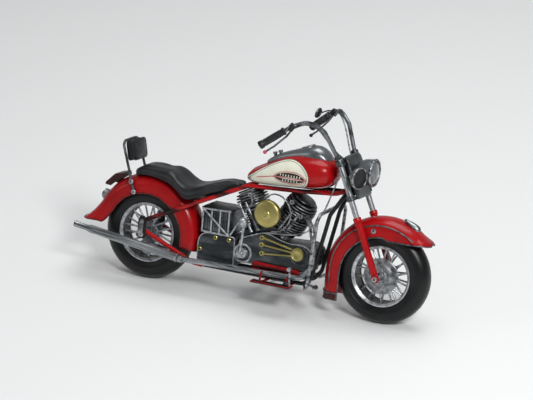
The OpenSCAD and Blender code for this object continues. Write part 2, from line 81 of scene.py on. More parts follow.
# ---------- studio ----------
# A seamless pale paper sweep under three soft lamps: the strongest ahead and to the right, a
# weak one on the left and a broad one overhead. A soft sky fills in, so no shadow is hard.
def linear(hex_colour):
    """An sRGB hex value as linear red, green, blue and alpha."""
    parts = [int(hex_colour[i:i + 2], 16) / 255 for i in (1, 3, 5)]
    return [p / 12.92 if p <= 0.04045 else ((p + 0.055) / 1.055) ** 2.4 for p in parts] + [1.0]


def add(tree, kind, links=None, **settings):
    """Adds one node. Settings that are named after inputs set their values, and links feed
    inputs from sockets."""
    node = tree.nodes.new(kind)
    for key, value in settings.items():
        if hasattr(node, key):
            setattr(node, key, value)
        else:
            node.inputs[key.replace("_", " ")].default_value = value
    for key, socket in (links or {}).items():
        tree.links.new(socket, node.inputs[key])
    return node


def finish(name):
    """An empty node material and its tree, with the surface shader linked to the output."""
    material = bpy.data.materials.new(name)
    material.use_nodes = True
    tree = material.node_tree
    tree.nodes.clear()
    shader = add(tree, "ShaderNodeBsdfPrincipled")
    add(tree, "ShaderNodeOutputMaterial", {"Surface": shader.outputs[0]})
    return material, tree, shader


# matt paper: pale grey, with no gloss to mirror the model
paper, tree, shader = finish("matt_paper_sweep")
shader.inputs["Base Color"].default_value = linear("#E9EAEA")
shader.inputs["Roughness"].default_value = 0.6
shader.inputs["Specular IOR Level"].default_value = 0.25
curl, curl_from = 0.9, 1.6
sweep_profile = [(-3.2, 0), (curl_from, 0)] + [
    (curl_from + curl * math.sin(a), curl - curl * math.cos(a))
    for a in [math.pi / 2 * i / 12 for i in range(1, 13)]] + [(curl_from + curl, 4.5)]
mesh = bpy.data.meshes.new("paper_sweep")
mesh.from_pydata([(x, y, z) for y, z in sweep_profile for x in (-5, 5)], [],
                 [(2 * i, 2 * i + 1, 2 * i + 3, 2 * i + 2) for i in range(len(sweep_profile) - 1)])
mesh.materials.append(paper)
mesh.shade_smooth()
sweep = bpy.data.objects.new("paper_sweep", mesh)
scene.collection.objects.link(sweep)


def softbox(name, place, aim, size, power):
    """A white square lamp of a size in metres and a power in watts, turned to face a point."""
    data = bpy.data.lights.new(name, "AREA")
    data.size = size
    data.energy = power
    lamp = bpy.data.objects.new(name, data)
    lamp.location = place
    lamp.rotation_euler = (Vector(aim) - Vector(place)).to_track_quat("-Z", "Y").to_euler()
    scene.collection.objects.link(lamp)


softbox("key_lamp", (1.1, -1.0, 1.3), (0, 0, 0.08), 0.45, 22)
softbox("fill_lamp", (-1.6, -1.3, 1.0), (0, 0, 0.08), 0.8, 2.5)
softbox("top_lamp", (0.1, 0.45, 1.8), (0, 0.15, 0), 1.2, 17.5)
world = bpy.data.worlds.new("soft_sky")
world.use_nodes = True
sky = world.node_tree.nodes["Background"].inputs
sky["Color"].default_value = linear("#F4F6F8")
sky["Strength"].default_value = 0.28
scene.world = world
scene.view_settings.view_transform = "Standard"


# ---------- frame rails ----------
# Two rods each side run from the rear dropout, one up under the saddle and tank to the head tube
# and one down to the cradle. Steel rod, brush-painted in gloss red enamel over a black ground.
def mottle(tree, size, stretch=(1, 1, 1), detail=4.0, turn=(0, 0, 0)):
    """Noise with features size millimetres across, drawn out along the axes by stretch."""
    where = add(tree, "ShaderNodeTexCoord")
    turned_to = add(tree, "ShaderNodeMapping", {"Vector": where.outputs["Object"]}, Rotation=turn)
    drawn = add(tree, "ShaderNodeMapping", {"Vector": turned_to.outputs[0]},
                Scale=[1 / s for s in stretch])
    noise = add(tree, "ShaderNodeTexNoise", {"Vector": drawn.outputs[0]},
                Scale=1000 / size, Detail=detail)
    return noise.outputs[0]


def ramp(tree, value, low, high, to_low=0.0, to_high=1.0):
    """A value between low and high spread over another range, and clamped to it."""
    spread = add(tree, "ShaderNodeMapRange", {"Value": value}, From_Min=low, From_Max=high,
                 To_Min=to_low, To_Max=to_high)
    return spread.outputs[0]


def edges(tree, reach, low, high):
    """White where the surface turns within reach millimetres."""
    rounded = add(tree, "ShaderNodeBevel", samples=6, Radius=reach / 1000)
    surface = add(tree, "ShaderNodeNewGeometry")
    agree = add(tree, "ShaderNodeVectorMath",
                {0: rounded.outputs[0], 1: surface.outputs["Normal"]}, operation="DOT_PRODUCT")
    return ramp(tree, agree.outputs["Value"], 1 - low, 1 - high)


def hollows(tree, reach, low, high):
    """White in corners and grooves closed in within reach millimetres."""
    open_sky = add(tree, "ShaderNodeAmbientOcclusion", samples=6, only_local=True,
                   Distance=reach / 1000)
    return ramp(tree, open_sky.outputs["AO"], high, low)


def over(tree, factor, under, top):
    """Lays a colour, as a hex value or a socket, over another by factor."""
    layer = add(tree, "ShaderNodeMix", {0: factor}, data_type="RGBA")
    for slot, colour in ((6, under), (7, top)):
        if isinstance(colour, str):
            layer.inputs[slot].default_value = linear(colour)
        else:
            tree.links.new(colour, layer.inputs[slot])
    return layer.outputs[2]


def times(tree, *factors):
    """The product of sockets and numbers."""
    result = factors[0]
    for factor in factors[1:]:
        step = add(tree, "ShaderNodeMath", {0: result}, operation="MULTIPLY")
        if isinstance(factor, float):
            step.inputs[1].default_value = factor
        else:
            tree.links.new(factor, step.inputs[1])
        result = step.outputs[0]
    return result


def antiqued(name, base, deep, wash, rubbed, brush=14.0, stretch=(1, 1, 1), turn=(0, 0, 0),
             deepen=(0.4, 0.7), wash_reach=2.5, wash_most=0.8, rub_reach=0.5, rub_most=0.8,
             rub_break=(0.4, 0.6), metallic=0.0, rough=(0.3, 0.5), dent=0.02, gloss=0.5):
    """A hand-finished metal surface: a brushed ground that deepens in patches, a dark wash left
    in the hollows, and a lighter metal rubbed onto the edges."""
    material, tree, shader = finish(name)
    strokes = mottle(tree, brush, stretch, turn=turn)
    patches = ramp(tree, strokes, *deepen)
    colour = over(tree, patches, base, deep)
    closed = times(tree, hollows(tree, wash_reach, 0.35, 0.9), float(wash_most))
    colour = over(tree, closed, colour, wash)
    fine = mottle(tree, brush / 5, stretch, turn=turn)
    rub = times(tree, edges(tree, rub_reach, 0.02, 0.2), ramp(tree, fine, *rub_break),
                float(rub_most))
    colour = over(tree, rub, colour, rubbed)
    tree.links.new(colour, shader.inputs["Base Color"])
    tree.links.new(ramp(tree, fine, 0.3, 0.7, *rough), shader.inputs["Roughness"])
    bare = ramp(tree, rub, 0.0, 1.0, metallic, max(metallic, 0.85))
    tree.links.new(bare, shader.inputs["Metallic"])
    relief = add(tree, "ShaderNodeBump", {"Height": fine}, Strength=0.5, Distance=dent / 1000)
    tree.links.new(relief.outputs[0], shader.inputs["Normal"])
    shader.inputs["Specular IOR Level"].default_value = gloss
    return material


# gloss enamel brushed on by hand: pooled dark red in patches, black ground at worn edges
red_enamel = antiqued("brushed_red_enamel", "#A60C11", "#7C080B", "#1E0304", "#2C0708",
                      brush=45, deepen=(0.4, 0.75), wash_reach=5, wash_most=0.9, rub_reach=1.1,
                      rub_most=0.75, rub_break=(0.35, 0.5), rough=(0.2, 0.27), dent=0.008,
                      gloss=0.3)
# satin black lacquer over steel: grey where it has rubbed thin on the corners
black_lacquer = antiqued("satin_black_lacquer", "#121315", "#1E2022", "#050505", "#5E6164",
                         brush=9, rub_reach=0.5, rub_most=0.5, rough=(0.32, 0.5), gloss=0.35)
# silver dry-brushed along bright steel: streaks with the dark ground showing through
streaked_silver = antiqued("streaked_silver", "#A9ACB0", "#3C3F42", "#17191B", "#E2E4E7",
                           brush=4, stretch=(5, 1, 1), deepen=(0.42, 0.64), wash_reach=2.5,
                           wash_most=0.9, rub_reach=0.5, rub_most=0.6, metallic=0.85,
                           rough=(0.26, 0.42), dent=0.03)
# dark antique pewter: near-black ground dry-brushed with silver, brightest on the edges
dark_pewter = antiqued("dark_pewter", "#34383B", "#6C7175", "#08090A", "#C9CDD0",
                       brush=7, stretch=(3, 1, 1), deepen=(0.46, 0.76), wash_reach=3,
                       wash_most=0.9, rub_reach=0.55, rub_most=0.9, rub_break=(0.3, 0.55),
                       metallic=0.75, rough=(0.3, 0.46), dent=0.05)


def rod_tree():
    """Geometry nodes for round rods on paths: corners bent to a radius, ends closed."""
    tree = bpy.data.node_groups.new("bent_rods", "GeometryNodeTree")
    face = tree.interface
    face.new_socket("Geometry", in_out="INPUT", socket_type="NodeSocketGeometry")
    for label, kind in (("Rod Radius", "Float"), ("Bend Radius", "Float"), ("Sides", "Int"),
                        ("Finish", "Material")):
        face.new_socket(label, in_out="INPUT", socket_type="NodeSocket" + kind)
    face.new_socket("Geometry", in_out="OUTPUT", socket_type="NodeSocketGeometry")
    given = add(tree, "NodeGroupInput").outputs
    line = add(tree, "GeometryNodeMeshToCurve", {0: given["Geometry"]})
    bent = add(tree, "GeometryNodeFilletCurve", {"Curve": line.outputs[0],
               "Radius": given["Bend Radius"]}, mode="POLY", Count=8, Limit_Radius=True)
    section = add(tree, "GeometryNodeCurvePrimitiveCircle",
                  {"Resolution": given["Sides"], "Radius": given["Rod Radius"]})
    rod = add(tree, "GeometryNodeCurveToMesh", {"Curve": bent.outputs[0],
              "Profile Curve": section.outputs[0]}, Fill_Caps=True)
    real = add(tree, "GeometryNodeRealizeInstances", {0: rod.outputs[0]})
    done = add(tree, "GeometryNodeSetMaterial", {0: real.outputs[0], "Material": given["Finish"]})
    add(tree, "NodeGroupOutput", {0: done.outputs[0]})
    return tree


def grow(tree, start, **sizes):
    """Runs a geometry node tree on a mesh and returns the plain mesh it makes."""
    holder = bpy.data.objects.new("growing", start)
    scene.collection.objects.link(holder)
    modifier = holder.modifiers.new("grow", "NODES")
    modifier.node_group = tree
    for item in tree.interface.items_tree:
        key = item.name.replace(" ", "_").lower()
        if item.in_out == "INPUT" and key in sizes:
            modifier[item.identifier] = sizes[key]
    graph = bpy.context.evaluated_depsgraph_get()
    made = bpy.data.meshes.new_from_object(holder.evaluated_get(graph), depsgraph=graph)
    bpy.data.objects.remove(holder)
    return made


bent_rods = rod_tree()


def rods(paths, radius, material, bend=4.0, sides=24):
    """A mesh of round rods along lists of points in millimetres."""
    start = bpy.data.meshes.new("paths")
    points = [p for path in paths for p in path]
    steps, first = [], 0
    for path in paths:
        steps += [(first + i, first + i + 1) for i in range(len(path) - 1)]
        first += len(path)
    start.from_pydata(points, steps, [])
    return grow(bent_rods, start, rod_radius=float(radius), bend_radius=float(bend), sides=sides,
                finish=material)


def assemble(name, body, slot, meshes, *stands_for, crease=38):
    """Joins meshes laid out in millimetres into one piece on its body, in place of CAD nodes."""
    whole = bmesh.new()
    finishes = []
    for mesh in meshes:
        first_face = len(whole.faces)
        whole.from_mesh(mesh)
        whole.faces.ensure_lookup_table()
        palette = [m for m in mesh.materials if m]
        for material in palette:
            if material not in finishes:
                finishes.append(material)
        for face in whole.faces[first_face:]:
            paint = palette[min(face.material_index, len(palette) - 1)]
            face.material_index = finishes.index(paint)
    bmesh.ops.recalc_face_normals(whole, faces=whole.faces)
    result = bpy.data.meshes.new(name)
    whole.to_mesh(result)
    whole.free()
    for material in finishes:
        result.materials.append(material)
    result.transform(stance)
    result.shade_smooth()
    result.set_sharp_from_angle(angle=math.radians(crease))
    piece = bpy.data.objects.new(name, result)
    scene.collection.objects.link(piece)
    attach(piece, body)
    if stands_for:
        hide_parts(*stands_for)
    return piece


def both(points):
    """A path and its mirror image on the other side."""
    return [points, [(x, -y, z) for x, y, z in points]]


rail_y = 18.0
rail_r = 2.2
rail_top = [(2, rail_y, 61.5), (60, 17.8, 90), (108, 14, 113), (160, 12, 115.8), (196, 8, 118.5),
            (205, 3, 121.5)]
rail_low = [(2, rail_y, 50.5), (56, rail_y, 28), (66, 14, 26)]
# the same enamel brushed thinly along the rods, with long black streaks: partly the black ground
# showing through, partly painted shade that darkens the rods as if in shadow
rail_enamel_painted_shade = antiqued("streaked_rail_red", "#A50D12", "#1C0405", "#140203", "#2C0708", brush=9,
                    stretch=(7, 1, 1), deepen=(0.42, 0.56), wash_reach=6, rub_most=0.3,
                    rough=(0.22, 0.32), dent=0.01, gloss=0.3)
assemble("frame_rails_red", "chassis", "red_enamel",
         [rods(both(rail_top) + both(rail_low), rail_r, rail_enamel_painted_shade, bend=14)], "frame_rails")


# ---------- dropouts ----------
# Flattened ends that join the two rails at the rear axle, with a tapered bright lever soldered
# over the right one. Black lacquer under silver.
def rounded(outline, radius):
    """An outline with its corners rounded to a radius."""
    steps = 5
    out = []
    count = len(outline)
    for i in range(count):
        here = Vector(outline[i])
        before = Vector(outline[i - 1]) - here
        after = Vector(outline[(i + 1) % count]) - here
        reach = min(radius, before.length * 0.45, after.length * 0.45)
        a, b = here + before.normalized() * reach, here + after.normalized() * reach
        for k in range(steps + 1):
            t = k / steps
            out.append(tuple(a * (1 - t) ** 2 + here * 2 * t * (1 - t) + b * t * t))
    return out


def meshed(shape, material):
    """Ends work on a bmesh: its faces are turned outward and it becomes a mesh of one material."""
    bmesh.ops.recalc_face_normals(shape, faces=shape.faces)
    mesh = bpy.data.meshes.new("form")
    shape.to_mesh(mesh)
    shape.free()
    mesh.materials.append(material)
    return mesh


def cut_plate(outline, y0, y1, material, soften=0.3):
    """A flat piece between two distances from the middle, cut to an outline in the side view,
    with its corners eased."""
    shape = bmesh.new()
    face = shape.faces.new([shape.verts.new((x, y0, z)) for x, z in outline])
    grown = bmesh.ops.extrude_face_region(shape, geom=[face])
    top = [v for v in grown["geom"] if isinstance(v, bmesh.types.BMVert)]
    bmesh.ops.translate(shape, vec=(0, y1 - y0, 0), verts=top)
    bmesh.ops.recalc_face_normals(shape, faces=shape.faces)
    rim = [e for e in shape.edges if abs(e.verts[0].co.y - e.verts[1].co.y) < 1e-6]
    bmesh.ops.bevel(shape, geom=rim, offset=soften, segments=2, affect="EDGES", profile=0.6,
                    clamp_overlap=True)
    return meshed(shape, material)


dropout = rounded([(-4.4, 43), (4.4, 43), (4.4, 60), (2.5, 66), (-2.5, 66), (-4.4, 60)], 1.6)
lever = rounded([(-1.8, 62), (2.2, 62.5), (1.6, 50), (-0.4, 44.5), (-4.4, 43.5), (-6, 47),
                 (-3.6, 52)], 2)
dropout_parts = [cut_plate(dropout, side * 20.4, side * 21.6, black_lacquer) for side in (-1, 1)]
dropout_parts.append(cut_plate(lever, -22.6, -21.5, streaked_silver, 0.45))
assemble("dropout_plates_flat", "chassis", "black_paint", dropout_parts, "dropout_plates")

# ---------- cradle ----------
# Two black rods a side drop from the turned head tube, pass in front of the engine and run back
# beneath it. A short pin on the left carries the side stand between two collars.
rake = math.radians(24)
fork_foot = Vector((wheelbase - 1, 0, hub))
fork_turn = Matrix.Rotation(-rake, 4, "Y")
fork_place = Matrix.Translation(fork_foot) @ fork_turn


def turned(profile, material, at=(0, 0, 0), along=(0, -1, 0), steps=48, ring=False):
    """A shape turned about an axis: pairs of distance along it and radius. A ring's profile
    closes on itself, and any other is closed flat where it stops short of the axis."""
    place = Matrix.Translation(at) @ Vector(along).to_track_quat("Z", "X").to_matrix().to_4x4()
    shape = bmesh.new()
    rings = []
    for far, radius in profile:
        around = [math.tau * i / steps for i in range(steps if radius else 1)]
        points = [(radius * math.cos(a), radius * math.sin(a), far) for a in around]
        rings.append([shape.verts.new(place @ Vector(p)) for p in points])
    for a, b in list(zip(rings, rings[1:])) + ([(rings[-1], rings[0])] if ring else []):
        if len(a) == len(b) == 1:
            continue
        for i in range(steps):
            j = (i + 1) % steps
            corners = (a[i % len(a)], a[j % len(a)], b[j % len(b)], b[i % len(b)])
            shape.faces.new(list(dict.fromkeys(corners)))
    for end in () if ring else (rings[0], rings[-1]):
        if len(end) > 1:
            shape.faces.new(end)
    return meshed(shape, material)


def on_fork(*meshes):
    """Moves meshes drawn with z up the fork, from the front axle, to where the fork is."""
    for mesh in meshes:
        mesh.transform(fork_place)
    return list(meshes)


cradle_path = [(206, 3, 121), (194, 12, 98), (181, 12, 36), (173, 12, 26), (66, 12, 26)]
head_loop = [(84, 2.6), (84, 4.2), (84.5, 4.7), (87, 4.8), (87.6, 4.4), (107.4, 4.4), (108, 4.8),
             (110.5, 4.7), (111, 4.2), (111, 2.6)]
head_tube = turned(head_loop, black_lacquer, (-6, 0, 0), (0, 0, 1), steps=40, ring=True)
stand_at = Vector((112, 20, 25))
stand_axis = Vector((0.19, 0.457, 0.865)).normalized()
pin_foot, pin_top = tuple(stand_at - stand_axis * 3.4), tuple(stand_at + stand_axis * 2.6)
collar = [(0, 2.2), (0.2, 2.6), (0.7, 2.6), (0.9, 2.2)]
pin = [rods([[(112, 13, 25), pin_foot]], 1.7, black_lacquer, sides=16),
       rods([[pin_foot, pin_top]], 1.5, black_lacquer, sides=16)]
pin += [turned(collar, black_lacquer, stand_at + stand_axis * s, stand_axis, steps=24)
        for s in (-2.6, 1.7)]
cradle = [rods(both(cradle_path), 2.0, black_lacquer, bend=7)]
assemble("frame_cradle_black", "chassis", "black_paint", cradle + on_fork(head_tube) + pin,
         "frame_cradle")

# ---------- crash bars ----------
# One silver rod bent into a hoop on each side in front of the engine, joined across the front
# and soldered to the foot of the cradle.
crash_side = [(191, 4, 101.5), (191, 29, 101), (190.5, 35.5, 95), (188.5, 36, 62), (185, 33, 31),
              (179, 12, 29.6)]
assemble("crash_bars_bent", "chassis", "bright_steel",
         [rods(both(crash_side), 1.8, streaked_silver, bend=7),
          rods([[(191, -5, 101.5), (191, 5, 101.5)]], 1.9, streaked_silver)], "crash_bars")


# ---------- tyres ----------
# Solid black rubber rings, one on each rim, smooth with a small step low on each side wall and
# a slightly flattened crown. Matt, with a soft sheen, partly where they have been handled and
# partly painted as bluish grey patches.
def smooth(points, steps=6, closed=False):
    """More points on a curve that passes through the given ones."""
    count = len(points)
    out = []
    for i in range(count if closed else count - 1):
        pick = [points[(i + k) % count] if closed else points[min(max(i + k, 0), count - 1)]
                for k in (-1, 0, 1, 2)]
        for s in range(steps):
            t = s / steps
            weights = ((2 * t * t - t - t ** 3) / 2, (3 * t ** 3 - 5 * t * t + 2) / 2,
                       (4 * t * t + t - 3 * t ** 3) / 2, (t ** 3 - t * t) / 2)
            out.append(tuple(sum(w * p[d] for w, p in zip(weights, pick))
                             for d in range(len(points[0]))))
    return out if closed else out + [points[-1]]


# solid tyre rubber, moulded: nearly black, bluish grey in patches that are partly dust and partly
# painted sheen, a low broad sheen
tyre_rubber, tree, shader = finish("moulded_tyre_rubber")
dust_and_sheen = ramp(tree, mottle(tree, 18, detail=6), 0.5, 0.78)
tree.links.new(over(tree, dust_and_sheen, "#08090B", "#15181B"), shader.inputs["Base Color"])
tree.links.new(ramp(tree, mottle(tree, 9), 0.35, 0.7, 0.3, 0.44), shader.inputs["Roughness"])
grit = add(tree, "ShaderNodeBump", {"Height": mottle(tree, 0.9)}, Strength=0.35, Distance=0.00003)
tree.links.new(grit.outputs[0], shader.inputs["Normal"])
shader.inputs["Specular IOR Level"].default_value = 0.35

side_wall = [(7.4, 28.2), (8.3, 29.3), (9.3, 30.2), (9.7, 31.4), (10.4, 33.6), (10.5, 34.6),
             (10.95, 35.2), (11, 37.5), (10.5, 40.2), (9.1, 42.9), (6.8, 45.1), (3.6, 46.55)]
tyre_loop = smooth([(y, r) for y, r in side_wall] + [(0, 47)]
                   + [(-y, r) for y, r in reversed(side_wall)] + [(0, 28)], 4, closed=True)
wheels = (("rear", 0.0), ("front", wheelbase))
for end, x in wheels:
    assemble(end + "_tyre_moulded", end + "_wheel", "tyre_rubber",
             [turned(tyre_loop, tyre_rubber, (x, 0, hub), steps=128, ring=True)], end + "_tyre")


# ---------- rims, spokes and hubs ----------
# Pressed rims with a black well and a rolled silver lip each side. Thick straight spokes are
# soldered in crossed pairs between the rim and the two flanges of a turned hub.
# bright silver paint: light grey, broken by darker patches where the brush missed
spoke_silver = antiqued("spoke_silver", "#C2C5C9", "#7B7F84", "#0E0F10", "#E6E8EA", brush=4,
                        deepen=(0.45, 0.7), wash_reach=2, wash_most=0.75, metallic=0.8,
                        rough=(0.24, 0.38))
# thin grey wash over silver: mottled, dark in the grooves of the hub
hub_grey = antiqued("hub_grey_wash", "#8B8F93", "#4A4E52", "#0C0D0E", "#D5D8DA", brush=5,
                    deepen=(0.4, 0.65), wash_reach=3, wash_most=0.9, metallic=0.7,
                    rough=(0.32, 0.5), dent=0.06)


def copy_tree(name, by_angle):
    """Geometry nodes that repeat a piece, round the y axis or in a row with a given step."""
    tree = bpy.data.node_groups.new(name, "GeometryNodeTree")
    face = tree.interface
    face.new_socket("Geometry", in_out="INPUT", socket_type="NodeSocketGeometry")
    face.new_socket("Count", in_out="INPUT", socket_type="NodeSocketInt")
    face.new_socket("Step", in_out="INPUT", socket_type="NodeSocketVector")
    face.new_socket("Finish", in_out="INPUT", socket_type="NodeSocketMaterial")
    face.new_socket("Geometry", in_out="OUTPUT", socket_type="NodeSocketGeometry")
    given = add(tree, "NodeGroupInput").outputs
    number = add(tree, "GeometryNodeInputIndex")
    moved = add(tree, "ShaderNodeVectorMath", {0: given["Step"], "Scale": number.outputs[0]},
                operation="SCALE")
    spots = add(tree, "GeometryNodePoints", {"Count": given["Count"]})
    placed = add(tree, "GeometryNodeInstanceOnPoints",
                 {"Points": spots.outputs[0], "Instance": given["Geometry"]})
    target = placed.inputs["Rotation"] if by_angle else spots.inputs["Position"]
    tree.links.new(moved.outputs[0], target)
    real = add(tree, "GeometryNodeRealizeInstances", {0: placed.outputs[0]})
    done = add(tree, "GeometryNodeSetMaterial", {0: real.outputs[0], "Material": given["Finish"]})
    add(tree, "NodeGroupOutput", {0: done.outputs[0]})
    return tree


round_axle = copy_tree("ring_of_pieces", True)


def ring_of(mesh, count, at, material):
    """Copies of a mesh evenly round an axle at a point."""
    made = grow(round_axle, mesh, count=count, step=(0.0, math.tau / count, 0.0), finish=material)
    made.transform(Matrix.Translation(at))
    return made


def mirrored(profile):
    """A profile from the middle outward, with its mirror image before it."""
    return [(-y, r) for y, r in reversed(profile)] + profile


rim_loop = [(-9.3, 28.4), (-9.9, 29.1), (-9.5, 29.9), (-8.7, 29.7), (-8.4, 28.9), (-7.4, 28.4),
            (0, 28.2), (7.4, 28.4), (8.4, 28.9), (8.7, 29.7), (9.5, 29.9), (9.9, 29.1),
            (9.3, 28.4), (8.5, 27.1), (7.2, 26.9), (6, 27.3), (0, 27.3), (-6, 27.3),
            (-7.2, 26.9), (-8.5, 27.1)]
lip_loop = [(8.2, 26.9), (8.7, 26.7), (9.3, 27.6), (10.1, 28.9), (10.0, 29.7), (9.4, 29.9),
            (8.6, 28.6)]
spoke_pairs = 7
spoke_r = 0.95
spoke_spread = {"rear": math.radians(14), "front": math.radians(11)}
spoke_from, spoke_to = 8.6, 27.6
hub_loop = mirrored([(3.6, 4.6), (4.5, 5.4), (4.5, 9.4), (4.8, 9.8), (6.2, 9.8), (6.5, 9.4),
                     (6.5, 4.6), (6.9, 4.2), (11.6, 4), (12, 3.6), (12, 1.9)])
nut = turned([(8.9, 0), (8.9, 0.9), (9.2, 1.0), (9.8, 1.0),
              (9.8, 0)], hub_grey, (7.2, 0, 0), steps=6)
for end, x in wheels:
    centre = (x, 0, hub)
    spokes = []
    for side in (-1, 1):
        for lay in (-1, 1):
            a = lay * math.radians(4) + (math.pi / spoke_pairs if side > 0 else 0)
            b = a + lay * spoke_spread[end]
            inner = (spoke_from * math.cos(a), side * (5.4 + 1.5 * lay), spoke_from * math.sin(a))
            outer = (spoke_to * math.cos(b), side * (3.4 + lay), spoke_to * math.sin(b))
            one = rods([[inner, outer]], spoke_r, spoke_silver, sides=10)
            spokes.append(ring_of(one, spoke_pairs, centre, spoke_silver))
    assemble(end + "_spokes_soldered", end + "_wheel", "bright_steel", spokes, end + "_spokes")
    well = turned(smooth(rim_loop, 3, closed=True), black_lacquer, centre, steps=128, ring=True)
    lips = [turned([(side * y, r) for y, r in lip_loop], spoke_silver, centre, steps=128, ring=True)
            for side in (-1, 1)]
    assemble(end + "_rim_rolled", end + "_wheel", "bright_steel", [well] + lips, end + "_rim")
    assemble(end + "_hub_turned", end + "_wheel", "dark_steel",
             [turned(hub_loop, hub_grey, centre, steps=64, ring=True),
              ring_of(nut, 8, centre, hub_grey)], end + "_hub")

# ---------- front disc ----------
# A stamped cover on the right of the front hub: a flat rim with a raised middle and five holes
# round the axle, each with a pressed rim.
# grey paint sponged over silver: pitted and blotched, so that the sheet looks cast
sponged_grey = antiqued("sponged_grey", "#A3A7AA", "#56595C", "#141516", "#DCDEE0", brush=4.5,
                        deepen=(0.4, 0.66), wash_reach=2.5, wash_most=0.9, metallic=0.65,
                        rough=(0.36, 0.55), dent=0.09)
front_centre = (wheelbase, 0, hub)
disc_loop = [(7.6, 4.2), (7.6, 17.2), (8, 17.6), (8.6, 17.6), (9, 17.1), (9, 15.6), (8.6, 15),
             (8.6, 12.2), (9.2, 11.3), (10.1, 10.9), (10.4, 10.3), (10.4, 9.4), (9.9, 9),
             (9.9, 6), (10.4, 5.4), (10.4, 4.2)]
socket = turned([(9.4, 0), (9.4, 1.0), (10.2, 1.1), (10.5, 1.5), (10.3, 1.9), (9.8, 2), (9.4, 2),
                 (9.3, 0)], sponged_grey, (7.6, 0, 0), steps=20)
assemble("front_disc_stamped", "front_wheel", "bright_steel",
         [turned(disc_loop, sponged_grey, front_centre, steps=96, ring=True),
          ring_of(socket, 5, front_centre, sponged_grey)], "front_disc")

# ---------- axles ----------
# Hollow steel rods through both wheels, each with a round head outside the dropouts and fork
# legs. The bare end shows as a bright ring with a dark bore.
for end, x, head, reach, body in (("rear", 0.0, 21.65, 23.4, "chassis"),
                                  ("front", wheelbase, 24.4, 27.0, "steering")):
    axle_loop = mirrored([(head, 1.8), (head, 2.4), (head + 0.3, 2.6), (reach - 0.35, 2.4),
                          (reach, 1.6), (reach, 1)])
    assemble(end + "_axle_tube", body, "bright_steel",
             [turned(axle_loop, spoke_silver, (x, 0, hub), steps=40, ring=True)], end + "_axle")


# ---------- rear mudguard ----------
# A deep folded mudguard with a rounded crown, long skirts that cover the tyre's shoulders and a
# tail that kicks up. Gloss red enamel outside, its cut edge turned over a wire in darker red, with
# a painted highlight along it.
sheet = 1.0
guard_half = 15.5
bow = 0.62
# the turned edge in darker, mottled red: a thin pale pink painted highlight along the bead, with
# red left beside it
edge_red_painted_highlight = antiqued("worn_enamel_edge", "#8E0D11", "#4A090B", "#120405", "#A8595A", brush=5,
                       deepen=(0.35, 0.6), rub_reach=0.4, rub_most=0.7, rough=(0.35, 0.5))


def on_arc(x, radius, degrees):
    """The end of a radius from the middle of the wheel over x, in the side view."""
    a = math.radians(degrees)
    return x + radius * math.cos(a), hub + radius * math.sin(a)


def fold(half, depth, steps=20):
    """The outer line of a folded section: skirt, rounded crown, skirt, as depth and side."""
    rise = min(half * bow, depth - 0.4)
    skirt = [(-depth + (depth - rise) * i / 5, -half) for i in range(5)]
    crown = [(rise * (math.sin(math.pi * i / steps) - 1), -half * math.cos(math.pi * i / steps))
             for i in range(steps + 1)]
    return skirt + crown + [(d, -s) for d, s in reversed(skirt)]


def folded_guard(stations, material, edge):
    """A sheet folded along stations of x, z, inward angle, skirt depth and half width, with its
    free edge rolled over a wire."""
    lines = []
    for x, z, angle, depth, half in stations:
        out_x, out_z = math.cos(math.radians(angle)), math.sin(math.radians(angle))
        lines.append([Vector((x + d * out_x, s, z + d * out_z)) for d, s in fold(half, depth)])
    shape = bmesh.new()
    grid = [[shape.verts.new(p) for p in line] for line in lines]
    for one, two in zip(grid, grid[1:]):
        for i in range(len(one) - 1):
            shape.faces.new((one[i], one[i + 1], two[i + 1], two[i]))
    bmesh.ops.recalc_face_normals(shape, faces=shape.faces)
    middle = grid[len(grid) // 2][len(grid[0]) // 2]
    middle.normal_update()
    a = math.radians(stations[len(stations) // 2][2])
    if middle.normal.dot(Vector((math.cos(a), 0, math.sin(a)))) < 0:
        bmesh.ops.reverse_faces(shape, faces=shape.faces)
    mesh = bpy.data.meshes.new("guard")
    shape.to_mesh(mesh)
    shape.free()
    holder = bpy.data.objects.new("guard", mesh)
    scene.collection.objects.link(holder)
    thick = holder.modifiers.new("wall", "SOLIDIFY")
    thick.thickness = sheet
    thick.offset = -1
    graph = bpy.context.evaluated_depsgraph_get()
    wall = bpy.data.meshes.new_from_object(holder.evaluated_get(graph), depsgraph=graph)
    bpy.data.objects.remove(holder)
    wall.materials.append(material)
    left = [line[0] for line in lines]
    right = [line[-1] for line in lines]
    rim_path = left + lines[-1][1:-1] + right[::-1] + lines[0][-2:0:-1]
    bead = rods([[tuple(p) for p in rim_path + rim_path[:1]]], 0.62, edge, bend=1.0, sides=10)
    return [wall, bead]


rear_guard_r = 58.0
tail_angle = 146.0
rear_skirt = 18.0
tail = [(37, 3.8, 181, 19.5), (33, 2.4, 172, 19), (28, 1.2, 162, 18.5), (20, 0, 152, 18),
        (10, -0.4, 147, 18)]
t_cos, t_sin = math.cos(math.radians(tail_angle)), math.sin(math.radians(tail_angle))
rear_stations = [(rear_guard_r * t_cos - run * t_sin + out * t_cos,
                  hub + rear_guard_r * t_sin + run * t_cos + out * t_sin, turn, depth, guard_half)
                 for run, out, turn, depth in tail]
rear_stations += [(*on_arc(0, rear_guard_r, a), a, rear_skirt, guard_half)
                  for a in range(int(tail_angle), -15, -6)]
assemble("rear_mudguard_folded", "chassis", "red_enamel",
         folded_guard(smooth(rear_stations, 3), red_enamel, edge_red_painted_highlight), "rear_mudguard")

